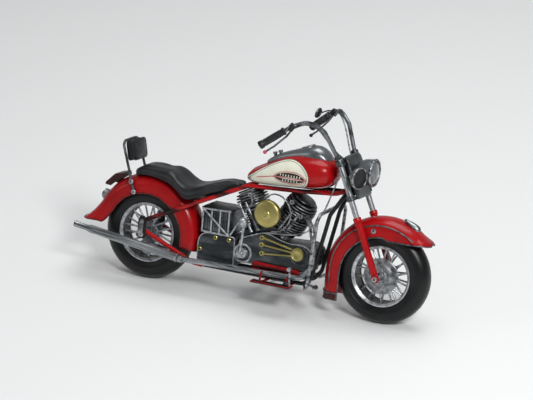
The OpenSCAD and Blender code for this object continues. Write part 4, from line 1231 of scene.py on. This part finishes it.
points = [(-0.4, 0), (-0.4, 6.6), (2.4, 6.6), (2.9, 6.3), (3.0, 5.7), (2.6, 5.3), (2.6, 4.2),
          (2.8, 3.9), (2.6, 3.5), (2.6, 0)]
assemble("points_cover_turned", "chassis", "antique_brass",
         [turned(points, antique_brass, (167, -18.2, 55.5), steps=56)], "points_cover")
rod_eye = [(0, 1.0), (0, 2.3), (1.4, 2.5), (2.8, 2.5), (3.3, 2.1), (3.3, 1.1)]
control_rods = []
for x0, z0, x1, z1 in ((129, 66, 161, 59.6), (129, 59, 161, 56.6), (130, 50.5, 161, 53.2)):
    rod_line = [(x0 + 2, -20.2, z0), (x1, -20.2, z1)]
    control_rods.append(rods([rod_line], 1.0, antique_brass, sides=16))
    control_rods.append(turned(rod_eye, antique_brass, (x0, -18, z0), steps=28, ring=True))
assemble("control_rods_brass", "chassis", "antique_brass", control_rods, "cam_rods")

# ---------- primary cover ----------
# The flat cover on the left of the engine with two round bosses, not seen from the right and
# kept plain. Pewter paint.
primary_outline = rounded([(96, 40), (103, 34), (172, 36), (181, 43), (182, 56), (174, 63),
                           (104, 59), (96, 53)], 6)
primary = [cut_plate(primary_outline, 14, 19, dark_pewter, 1.0)]
for x, z, r in ((166, 50, 9), (108, 47, 7.5)):
    primary.append(turned([(0, 0), (0, r), (0.8, r - 0.2), (1.2, r - 0.9), (1.0, r - 1.8),
                           (1.3, r - 2.6), (1.6, 0)], streaked_silver, (x, 18.9, z), (0, 1, 0)))
screw = turned([(0, 0), (0, 1.3), (0.5, 1.25), (0.9, 0.8), (1.0, 0)], spoke_silver,
               along=(0, 1, 0), steps=12)
screw_spots = ((101, 40), (124, 37.6), (148, 38.4), (177, 44), (176, 58), (150, 58.8), (124, 57.6))
primary += at_each(screw, [(x, 18.9, z) for x, z in screw_spots])
assemble("primary_cover_flat", "chassis", "dark_steel", primary, "primary_cover", crease=30)


# ---------- belly plate and footboards ----------
# A red strip under the engine, two bent straps down from it, and a thin folded board each side on
# two cross rods. Enamelled with the frame and worn dark along the edges; the strip has the rails'
# black streaks, partly painted shade.
strap_xs = (134.5, 162.5)
strip_outline = rounded([(121, 33.6), (168, 33.6), (171, 37), (169, 40.2), (123.5, 41.4),
                         (119.4, 39.6)], 1.2)
# the strip's long black streaks are partly painted shade, as on the rails
strip = cut_plate(strip_outline, -20.2, -18.4, rail_enamel_painted_shade, 0.35)
straps = [[(x, -20, 34.6), (x, -29.2, 33.8), (x, -30.4, 25.6)] for x in strap_xs]
assemble("belly_plate_red", "chassis", "red_enamel",
         [strip, rods(straps, 1.0, red_enamel, bend=2, sides=12)], "belly_plate")
board_outline = rounded([(127, 24.6), (168, 24.6), (168, 25.8), (127, 25.8)], 0.4)
board_from, board_to = 27, 37
boards = []
for side in (-1, 1):
    inner, outer = sorted((side * board_from, side * board_to))
    boards.append(cut_plate(board_outline, inner, outer, maroon, 0.25))
    edge_line = [(127.3, side * 27.3, 25.9), (127.3, side * 36.7, 25.9), (167.7, side * 36.7, 25.9),
                 (167.7, side * 27.3, 25.9)]
    boards.append(rods([edge_line], 0.5, red_enamel, bend=1, sides=10))
    tread_line = [(129.5, side * 28.5, 26), (129.5, side * 35.5, 26)]
    tread = rods([tread_line], 0.45, black_lacquer, sides=8)
    boards.append(row_of(tread, 13, (3, 0, 0), black_lacquer))
cross = [[(x, side * 13, 24.6), (x, side * 30, 24.6)] for x in (136, 162) for side in (-1, 1)]
assemble("footboards_folded", "chassis", "red_enamel", boards + [rods(cross, 1.4, red_enamel)],
         "footboards")

# ---------- foot levers ----------
# Bent wire pedals with round pads: a toe lever in front and an upright peg at the front of the
# right board. Bare silver paint, black in the joints.
toe = [(174, -13, 24.6), (180, -25, 24), (187, -31, 31), (193, -31, 30)]
peg = [(166, -31, 26), (165, -31, 43)]
toe_pad = [(-0.2, 1.6), (0.2, 2.3), (5.6, 2.4), (6, 1.7)]
peg_pad = [(-0.2, 1.3), (0.2, 1.9), (5.0, 2.0), (5.4, 1.3)]
peg_boss = [(0, 1.9), (0.4, 2.5), (2.6, 2.5), (3, 1.9)]
assemble("foot_levers_wire", "chassis", "bright_steel",
         [rods([toe, peg], 1.2, streaked_silver, bend=4, sides=16),
          turned(toe_pad, streaked_silver, (193, -29.1, 30), steps=32),
          turned(peg_pad, streaked_silver, (165, -28.6, 43), steps=32),
          turned(peg_boss, dark_pewter, (162, -29.4, 27.6), steps=32)], "foot_levers")

# ---------- exhaust ----------
# One pipe leaves the front cylinder, drops in front of the engine and runs back along the right
# side into a long straight silencer with a stepped, open tail.
# silver dry-brushed lengthways over black: long streaks with the ground between them
drawn_silver = antiqued("lengthways_silver", "#A6AAAD", "#43474A", "#141516", "#E2E4E6", brush=2.4,
                        stretch=(26, 1, 1), turn=(0, math.radians(-7), 0), deepen=(0.45, 0.66),
                        wash_reach=2, wash_most=0.8, rub_most=0.5, metallic=0.85,
                        rough=(0.26, 0.42), dent=0.05)
pipe_path = [(168, -8, 92), (177, -15, 84), (183.5, -20.5, 66), (183.5, -21.5, 46),
             (174, -24, 33.8), (47, -26, 31)]
joint_ring = turned([(0, 2.5), (0, 3.3), (0.5, 3.7), (3.6, 3.7), (4.6, 3.3),
                     (5.1, 2.5)], drawn_silver,
                    (48.5, -26, 31), (-1, 0, 0.02), steps=32, ring=True)
port = turned([(0, 2.5), (0, 4.1), (0.8, 4.5), (2.2, 4.5), (3, 3.4), (3, 2.5)], dark_pewter,
              (169, -8.8, 91.1), (0.74, -0.58, -0.66), steps=32, ring=True)
assemble("exhaust_pipe_bent", "chassis", "bright_steel",
         [rods([pipe_path], 2.6, drawn_silver, bend=11, sides=28), joint_ring, port],
         "exhaust_pipe")
silencer = [(0, 0), (0, 2.6), (0, 4.0), (0.5, 4.4), (2.2, 4.4), (2.7, 4.05), (30, 4.15),
            (70, 4.15), (97, 4.0), (99.6, 3.6), (101.4, 3.05), (103, 2.95), (114.6, 3.0),
            (115.2, 3.2), (116, 3.15), (116.3, 2.8), (116.2, 2.3), (106, 2.2), (106, 0)]
silencer_seams = [[(40, -29.9, z), (-50, -29.9, z + 11.6)] for z in (33.4, 30.8)]
assemble("silencer_straight", "chassis", "bright_steel",
         [turned(silencer, drawn_silver, (43.4, -26, 31.5), (-101.4, 0, 13.1)),
          rods(silencer_seams, 0.3, drawn_silver, sides=8)], "muffler")

# ---------- rear brake ----------
# A small drum plate below the axle with a stay soldered forward to the lower rail. Grey sponged
# paint like the front disc.
drum = [(-0.2, 0), (-0.2, 8.2), (0.2, 8.6), (1.2, 8.6), (1.6, 8.0), (1.4, 5.6), (1.9, 4.9),
        (2.2, 3.2), (3.2, 3.0), (3.3, 1.6), (2.9, 1.2), (2.9, 0)]
assemble("rear_brake_plate", "chassis", "bright_steel",
         [turned(drum, sponged_grey, (5, -13.4, 35)),
          rods([[(6, -15.6, 38), (16, -15.8, 37.4),
                 (26, -15.6, 36)]], 1.3, streaked_silver, bend=3)],
         "rear_brake")

# ---------- side stand ----------
# A bent wire leg on the left, turning on a slanted pin and ending in a round foot cut level with
# the ground. Its stop holds it forward of upright so that the machine's weight keeps it out.
upright = Vector((0, -math.sin(math.radians(12)), math.cos(math.radians(12))))
stand_foot = Vector((120, 46, 9.53))
stand_leg = [tuple(stand_at + Vector((0.6, 2, -1.2))), tuple(stand_foot + Vector((0, 0, 1.2)))]
barrel_loop = [(-1.3, 1.58), (-1.3, 3.0), (-1.0, 3.4), (1.0, 3.4), (1.3, 3.0), (1.3, 1.58)]
assemble("side_stand_leg", "stand", "dark_steel",
         [turned(barrel_loop, dark_pewter, stand_at, stand_axis, steps=32, ring=True),
          rods([stand_leg], 1.5, dark_pewter, sides=20),
          turned([(0, 0), (0, 3.8), (0.2, 4.0), (1.2, 4.0), (1.6, 3.5), (1.8, 0)], dark_pewter,
                 stand_foot, upright, steps=40)], "side_stand")

# ---------- kick starter ----------
# A straight wire crank on the round boss of the cam cover, with a drum pedal that catches the
# light. Silver paint.
crank_eye = [(-1.2, 1.58), (-1.2, 3.0), (-0.8, 3.4), (0.8, 3.4), (1.2, 3.0), (1.2, 1.58)]
pedal = [(0, 0), (0, 3.4), (0.4, 4.2), (1.4, 4.7), (5.4, 4.7), (6.6, 4.4), (7.3, 3.6), (7.2, 2.9),
         (6.9, 2.2), (7.0, 1.4), (7.5, 0.8), (7.6, 0)]
assemble("kick_crank_wire", "kickstart", "dark_steel",
         [turned(crank_eye, spoke_silver, (kick_at[0], -25.3, kick_at[1]), (0, 1, 0), steps=32,
                 ring=True),
          rods([[(109.2, -25.2, 49.4), (111, -25.2, 76)]], 1.3, spoke_silver, sides=20),
          turned(pedal, spoke_silver, (111, -24, 79))], "kick_crank")


# ---------- fork ----------
# Two yokes on a steel stem hold the fork tubes, bare silver above and sleeved in red enamelled
# legs below. Turned caps close the tubes. Everything here turns on the head tube.
fork_y = 20.5
yoke_outline = rounded([(-9.6, -3.6), (-3.6, -23.5), (3.6, -23.5), (4.2, -14), (4.2, 14),
                        (3.6, 23.5), (-3.6, 23.5), (-9.6, 3.6)], 3.4)
yokes = []
for s in (79, 113):
    flat = cut_plate(yoke_outline, -2.4, 0, dark_pewter, 0.35)
    flat.transform(Matrix.Translation((0, 0, s)) @ Matrix.Rotation(math.radians(90), 4, "X"))
    yokes.append(flat)
for side in (-1, 1):
    for s in (78.7, 112.7):
        yokes.append(turned([(0, 2.85), (0, 3.9), (0.4, 4.3), (2.6, 4.3), (3, 3.9), (3, 2.85)],
                            dark_pewter, (0, side * fork_y, s), (0, 0, 1), steps=36, ring=True))
yokes.append(turned([(80, 0), (80, 2.5), (115, 2.5), (115.4, 3.3), (117, 3.3), (117.6, 2.6),
                     (118, 0)],
                    dark_pewter, (-6, 0, 0), (0, 0, 1), steps=32))
assemble("fork_yokes_cut", "steering", "dark_steel", on_fork(*yokes), "fork_yokes")

# silver drawn up and down the fork tubes, with the dark ground showing
upright_silver = antiqued("upright_silver", "#B4B7BA", "#44474A", "#121314", "#E2E4E6", brush=3.0,
                          stretch=(1.2, 1.2, 10), turn=(0, rake, 0), deepen=(0.5, 0.68),
                          wash_reach=2.5, wash_most=0.85, rub_most=0.6, metallic=0.85,
                          rough=(0.24, 0.4), dent=0.04)
tube_profile = [(60, 0), (60, 2.8), (116.4, 2.8), (116.6, 3.3), (118.6, 3.3), (119.2, 2.7),
                (119.3, 0)]
leg_profile = [(-3.6, 0), (-3.4, 2.6), (-2.6, 3.3), (55.6, 3.3), (56, 3.9), (56.6, 4.0),
               (59.2, 4.0), (60, 3.7), (60.4, 2.9), (60.4, 0)]
tubes, legs = [], []
for side in (-1, 1):
    tubes.append(turned(tube_profile, upright_silver, (0, side * fork_y, 0), (0, 0, 1), steps=40))
    legs.append(turned(leg_profile, red_enamel, (0, side * fork_y, 0), (0, 0, 1), steps=40))
    legs.append(turned([(0, 1.9), (0, 3.9), (0.5, 4.2), (1.0, 3.9), (1.2, 1.9)], red_enamel,
                       (1, side * (fork_y + 3.1), 0), (0, side, 0), steps=32, ring=True))
    leg_seam = [(3.2, side * fork_y, 12), (3.2, side * fork_y, 46)]
    legs.append(rods([leg_seam], 0.5, red_enamel, sides=8))
assemble("fork_tubes_drawn", "steering", "bright_steel", on_fork(*tubes), "fork_tubes")
assemble("fork_legs_red", "steering", "red_enamel", on_fork(*legs), "fork_legs")

# ---------- lamp cover ----------
# A pressed cover between the fork tubes, narrower at its foot, that carries the head lamp. A
# thin wire is soldered round its front edge.
cover_stations = [(76.2, 5.2, 0.6, 14.2), (77, 5.2, 1.3, 15.8), (80, 5.2, 1.7, 16.6),
                  (90, 5.3, 1.9, 17.0), (100, 5.3, 2.0, 17.2), (112, 5.2, 1.9, 17.0),
                  (116, 5.0, 1.7, 16.4), (118, 4.8, 1.2, 15.0), (118.8, 4.6, 0.6, 13.0)]
# darker pewter rubbed up and down: soft vertical bands, bright along the turned edges
brushed_pewter = antiqued("brushed_cover_pewter", "#5A5F62", "#2A2E30", "#08090A", "#C6CACD",
                          brush=14, stretch=(1, 1, 3), deepen=(0.42, 0.68), wash_reach=5, wash_most=0.9,
                          rub_reach=1.0, rub_most=0.9, metallic=0.8, rough=(0.26, 0.4), dent=0.01)
cover_rings = [[(front + depth, y, s) for y, depth in rounded_box(wide, deep, 56, 6)]
               for s, front, deep, wide in smooth(cover_stations, 5)]
trim = [(6.9, -16.2, 79), (7.2, -16.7, 100), (6.6, -16.0, 115), (5.8, -14.0, 118.2),
        (5.8, 14.0, 118.2), (6.6, 16.0, 115), (7.2, 16.7, 100), (6.9, 16.2, 79)]
assemble("lamp_cover_pressed", "steering", "dark_steel",
         on_fork(lofted(cover_rings, brushed_pewter),
                 rods([trim], 0.5, dark_pewter, bend=3, sides=10)), "fork_cover", crease=50)

# ---------- head lamp ----------
# A bullet shell spun from sheet with a rolled bezel, a bright bowl inside and a domed glass.
# Dark pewter outside, brushed silver on the rim.
lamp_at = (230.5, 0, 143)
shell_profile = [(-18.9, 0), (-18.5, 3.6), (-16.8, 7.4), (-13.6, 10.4), (-9, 12.3), (-4, 13.0),
                 (-1.4, 13.1), (-1.1, 13.5), (-0.2, 13.8), (0.6, 13.6), (0.9, 12.9), (0.5, 12.2),
                 (-0.6, 11.9), (-3, 11.3), (-6.6, 9.0), (-9, 5.6), (-10, 2.2), (-10.1, 0)]
bulb = turned([(-10.4, 0), (-10.4, 1.5), (-8.4, 1.6), (-7.4, 2.3), (-6.0, 2.6), (-4.8, 2.0),
               (-4.3, 0)],
              dial_white, lamp_at, (1, 0, 0), steps=24)
assemble("head_lamp_shell", "steering", "dark_steel",
         [turned(shell_profile, polished_pewter, lamp_at, (1, 0, 0), steps=80), bulb], "headlamp",
         crease=50)
bezel_loop = smooth([(-1.3, 12.6), (-1.2, 13.5), (-0.2, 13.95), (0.9, 13.5), (1.2, 12.6),
                     (0.6, 12.0)],
                    3, closed=True)
assemble("head_lamp_bezel", "steering", "bright_steel",
         [turned(bezel_loop, streaked_silver, lamp_at, (1, 0, 0), steps=80, ring=True)])
# pressed lamp glass, a little clouded: grey with a clear broad reflection
lamp_glass, tree, shader = finish("clouded_lamp_glass")
cloud = ramp(tree, mottle(tree, 7, detail=3), 0.4, 0.75)
tree.links.new(over(tree, cloud, "#6E7375", "#3A3E40"), shader.inputs["Base Color"])
tree.links.new(ramp(tree, cloud, 0.0, 1.0, 0.08, 0.3), shader.inputs["Roughness"])
shader.inputs["Transmission Weight"].default_value = 0.15
shader.inputs["IOR"].default_value = 1.5
shader.inputs["Coat Weight"].default_value = 0.4
glass_profile = [(0.0, 0), (-0.7, 6), (-2.0, 11.4), (-1.4, 11.9), (-0.2, 11.8), (0.9, 9.6),
                 (1.9, 6.4), (2.5, 3.2), (2.7, 0)]
assemble("head_lamp_glass", "steering", "lamp_glass",
         [turned(glass_profile, lamp_glass, lamp_at, (1, 0, 0), steps=64)], "headlamp_lens",
         crease=60)

# ---------- horn ----------
# A round horn on a short stalk from the right fork tube, turned a little outward: a silver ring
# round a black dished face with pressed circles and a screw in the middle.
horn_at = Vector((226, -26, 141))
horn_way = Vector((math.cos(math.radians(19)), -math.sin(math.radians(19)), 0))
horn_back = [(-11.8, 0), (-11.8, 1.9), (-6.2, 2.0), (-5.4, 4.4), (-4.6, 7.6), (-4.0, 9.6),
             (-2.4, 10.1), (-0.4, 10.1), (-0.4, 9.5), (-3.0, 9.2), (-3.0, 0)]
horn_ring = [(-1.6, 9.6), (-1.4, 10.3), (-0.4, 10.6), (0.4, 10.3), (0.6, 9.7), (0.0, 9.3)]
horn_face = [(-2.2, 0), (-2.2, 9.4), (-0.6, 9.3), (-1.0, 8.6), (-1.3, 5.2), (-0.9, 4.9),
             (-0.9, 2.2), (-0.4, 1.9), (-0.3, 0)]
assemble("horn_turned", "steering", "dark_steel",
         [turned(horn_back, polished_pewter, horn_at, horn_way, steps=56),
          turned(smooth(horn_ring, 3, closed=True), streaked_silver, horn_at, horn_way, steps=64,
                 ring=True),
          turned(horn_face, black_lacquer, horn_at, horn_way, steps=56),
          rods([[tuple(horn_at - horn_way * 8), (213, -20.5, 139), (207.6, -20.5, 138)]], 1.5,
               dark_pewter, bend=2)], "horn")

# ---------- mudguard fittings ----------
# On the front mudguard: a teardrop marker lamp on the crown, a darker flap with its own bead at
# the tail, and an eyelet each side where it is fixed to the fork legs.
drop_stations = [(-9.2, 0.5, 0.3), (-8, 1.6, 1.1), (-5, 2.9, 2.4), (0, 3.9, 3.7), (4.4, 4.0, 4.3),
                 (7.2, 3.1, 3.6), (8.8, 1.5, 1.8), (9.3, 0.5, 0.6)]
drop_rings = [[(x, y, z if z > 0 else z * 0.5) for y, z in rounded_box(wide, high, 36, 2)]
              for x, wide, high in smooth(drop_stations, 5)]
drop = lofted(drop_rings, streaked_silver)
base_line = [(x, y, 0.15) for x, y in rounded_box(9.5, 4.3, 48, 2)]
rim_wire = rods([base_line + base_line[:1]], 0.55, black_lacquer, bend=0.3, sides=8)
drop_place = Matrix.Translation((274, 0, 98.5)) @ Matrix.Rotation(math.radians(34), 4, "Y")
for mesh in (drop, rim_wire):
    mesh.transform(drop_place)
assemble("guard_lamp_drop", "steering", "bright_steel", [drop, rim_wire], "guard_lamp", crease=60)
flap_x = wheelbase - front_guard_r - tail_out
flap_stations = [(flap_x - 0.3, z, 180, front_skirt - 0.3, guard_half + 0.3)
                 for z in (17.0, 20.2, 23.4)]
flap_line = [(flap_x - 0.5 - d, s, 24) for d, s in fold(guard_half + 0.5, front_skirt - 0.3, 16)]
guard_eye = [(-0.6, 1.0), (-0.6, 2.4), (0.2, 2.6), (1.2, 2.2), (1.2, 1.0)]
eyelets = [turned(guard_eye, spoke_silver, (241, side * guard_half, 91), (0, side, 0), steps=28,
                  ring=True) for side in (-1, 1)]
assemble("front_guard_flap", "steering", "red_enamel",
         folded_guard(flap_stations, maroon, bead_grey) + eyelets
         + [rods([flap_line], 0.6, bead_grey, bend=0.5, sides=10)])

# ---------- handlebar ----------
# One bent rod a side rises from each fork tube and sweeps back to a rubber grip, with a turned
# collar at its foot and a thin cable soldered beside it.
bar_path = [(200.6, 20.5, 154.4), (188, 30, 180.5), (180, 35, 187), (173, 42, 189),
            (165.5, 50, 186), (160, 53.6, 182.6), (138, 61.4, 165.4)]
# silver brushed over black: half of the dark ground shows through
bar_silver = antiqued("dark_brushed_bar", "#7C8084", "#2C2F31", "#0B0C0C", "#D4D7D9", brush=3.6,
                      stretch=(2.5, 2.5, 2.5), deepen=(0.42, 0.66), wash_reach=2, wash_most=0.8,
                      rub_most=0.8, metallic=0.85, rough=(0.24, 0.4), dent=0.05)
cable_path = [(163, 50.6, 182.4), (172, 41, 186.6), (180.4, 32, 183), (188, 25, 173),
              (196, 16, 160.4), (202, 9, 153.6), (206, 6, 151)]
foot = turned([(-2, 2.2), (-2, 3.2), (-1.4, 3.6), (2.4, 3.6), (3, 3.0), (3, 2.2)], dark_pewter,
              (200.6, 20.5, 154.8), (-12.6, 9.5, 26.1), steps=32, ring=True)
foot_right = foot.copy()
foot_right.transform(Matrix.Scale(-1, 4, (0, 1, 0)))
knot = [[(205, -6, 150.6), (203, 0, 156), (207.6, 5, 152)],
        [(205, 6, 150.6), (203.6, -1, 154.6), (208, -5, 151.6)]]
assemble("handlebar_bent", "steering", "bright_steel",
         [rods(both(bar_path), 2.1, bar_silver, bend=11, sides=28),
          rods(both(smooth(cable_path, 4)), 0.75, streaked_silver, bend=0.5, sides=12),
          rods([smooth(line, 5) for line in knot], 0.7, streaked_silver, bend=0.5, sides=10),
          foot, foot_right], "handlebar")

# ---------- grips ----------
# Rubber sleeves pushed on the bar ends, ribbed, with a flange at each end.
# black rubber, matt, with silver smeared on from the bar
smeared_rubber = antiqued("smeared_grip_rubber", "#0E0F10", "#232628", "#040404", "#6F7376",
                          brush=4, stretch=(3, 1, 3), turn=(0, math.radians(-38), 0), deepen=(0.48, 0.7),
                          rub_most=0.6, rough=(0.4, 0.58), dent=0.05)
grip_a, grip_b = Vector((160, 53.6, 182.6)), Vector((138, 61.4, 165.4))
grip_way = (grip_b - grip_a).normalized()
grip_long = (grip_b - grip_a).length
grip_profile = [(3.2, 0), (3.2, 3.2), (3.7, 3.8), (5.2, 3.8), (5.8, 3.2), (8, 3.25), (14, 3.5),
                (20, 3.4),
                (grip_long - 2.4, 3.3), (grip_long - 1.6, 3.9), (grip_long + 1.2, 4.0),
                (grip_long + 2.2, 3.6), (grip_long + 2.6, 2.4), (grip_long + 2.7, 0)]
grips = []
for side in (-1, 1):
    flip = Vector((1, side, 1))
    grips.append(turned(grip_profile, smeared_rubber, grip_a * flip, grip_way * flip, steps=40))
    bead = turned([(0, 3.2), (0.25, 3.62), (0.7, 3.62), (0.95, 3.2)], smeared_rubber,
                  (grip_a + grip_way * 7.4) * flip, grip_way * flip, steps=32, ring=True)
    grips.append(row_of(bead, 11, grip_way * flip * 1.7, smeared_rubber))
assemble("hand_grips_sleeved", "steering", "grip_rubber", grips, "hand_grips")

# ---------- levers and mirror ----------
# A clamp on each bar with a thin wire lever that ends in a small ball, red on the right, and a
# round mirror on the left bar only, held by a short wire.
clamp = box_of((-2.4, -3.3, -3.3), (2.4, 3.3, 3.3), black_lacquer, 0.9)
ball = [(-1.9, 0), (-1.7, 0.9), (-1.2, 1.5), (0, 1.9), (1.2, 1.5), (1.7, 0.9), (1.9, 0)]
lever_parts = []
for side in (-1, 1):
    block = clamp.copy()
    block.transform(Matrix.Translation((163, side * 51.8, 184.4))
                    @ Matrix.Rotation(math.radians(38), 4, "Y")
                    @ Matrix.Rotation(math.radians(-side * 30), 4, "Z"))
    lever_parts.append(block)
    wire = [(163, side * 50.4, 182), (158, side * 49.8, 174.8), (147, side * 53, 163.5),
            (140, side * 55, 158)]
    lever_parts.append(rods([wire], 0.95, bar_silver, bend=4, sides=14))
    lever_parts.append(turned(ball, lining_red if side < 0 else black_lacquer,
                              (139.4, side * 55.1, 157.4), (-1, 0, -0.8), steps=24))
mirror_way = Vector((-0.95, 0.12, 0.28)).normalized()
mirror_at = Vector((143.6, 58.6, 180))
lever_parts.append(rods([[(162, 54, 185.5), (154, 57.4, 184), (147, 58.4, 181)]], 0.7, bar_silver,
                        bend=3, sides=12))
dish = [(2.6, 0), (2.4, 2.2), (1.6, 4.2), (0.4, 5.3), (-0.5, 5.5), (-0.9, 5.1), (-0.7, 4.7),
        (-0.5, 0)]
lever_parts.append(turned(dish, bar_silver, mirror_at, mirror_way * -1, steps=40))
assemble("hand_levers_wire", "steering", "dark_steel", lever_parts, "hand_levers")
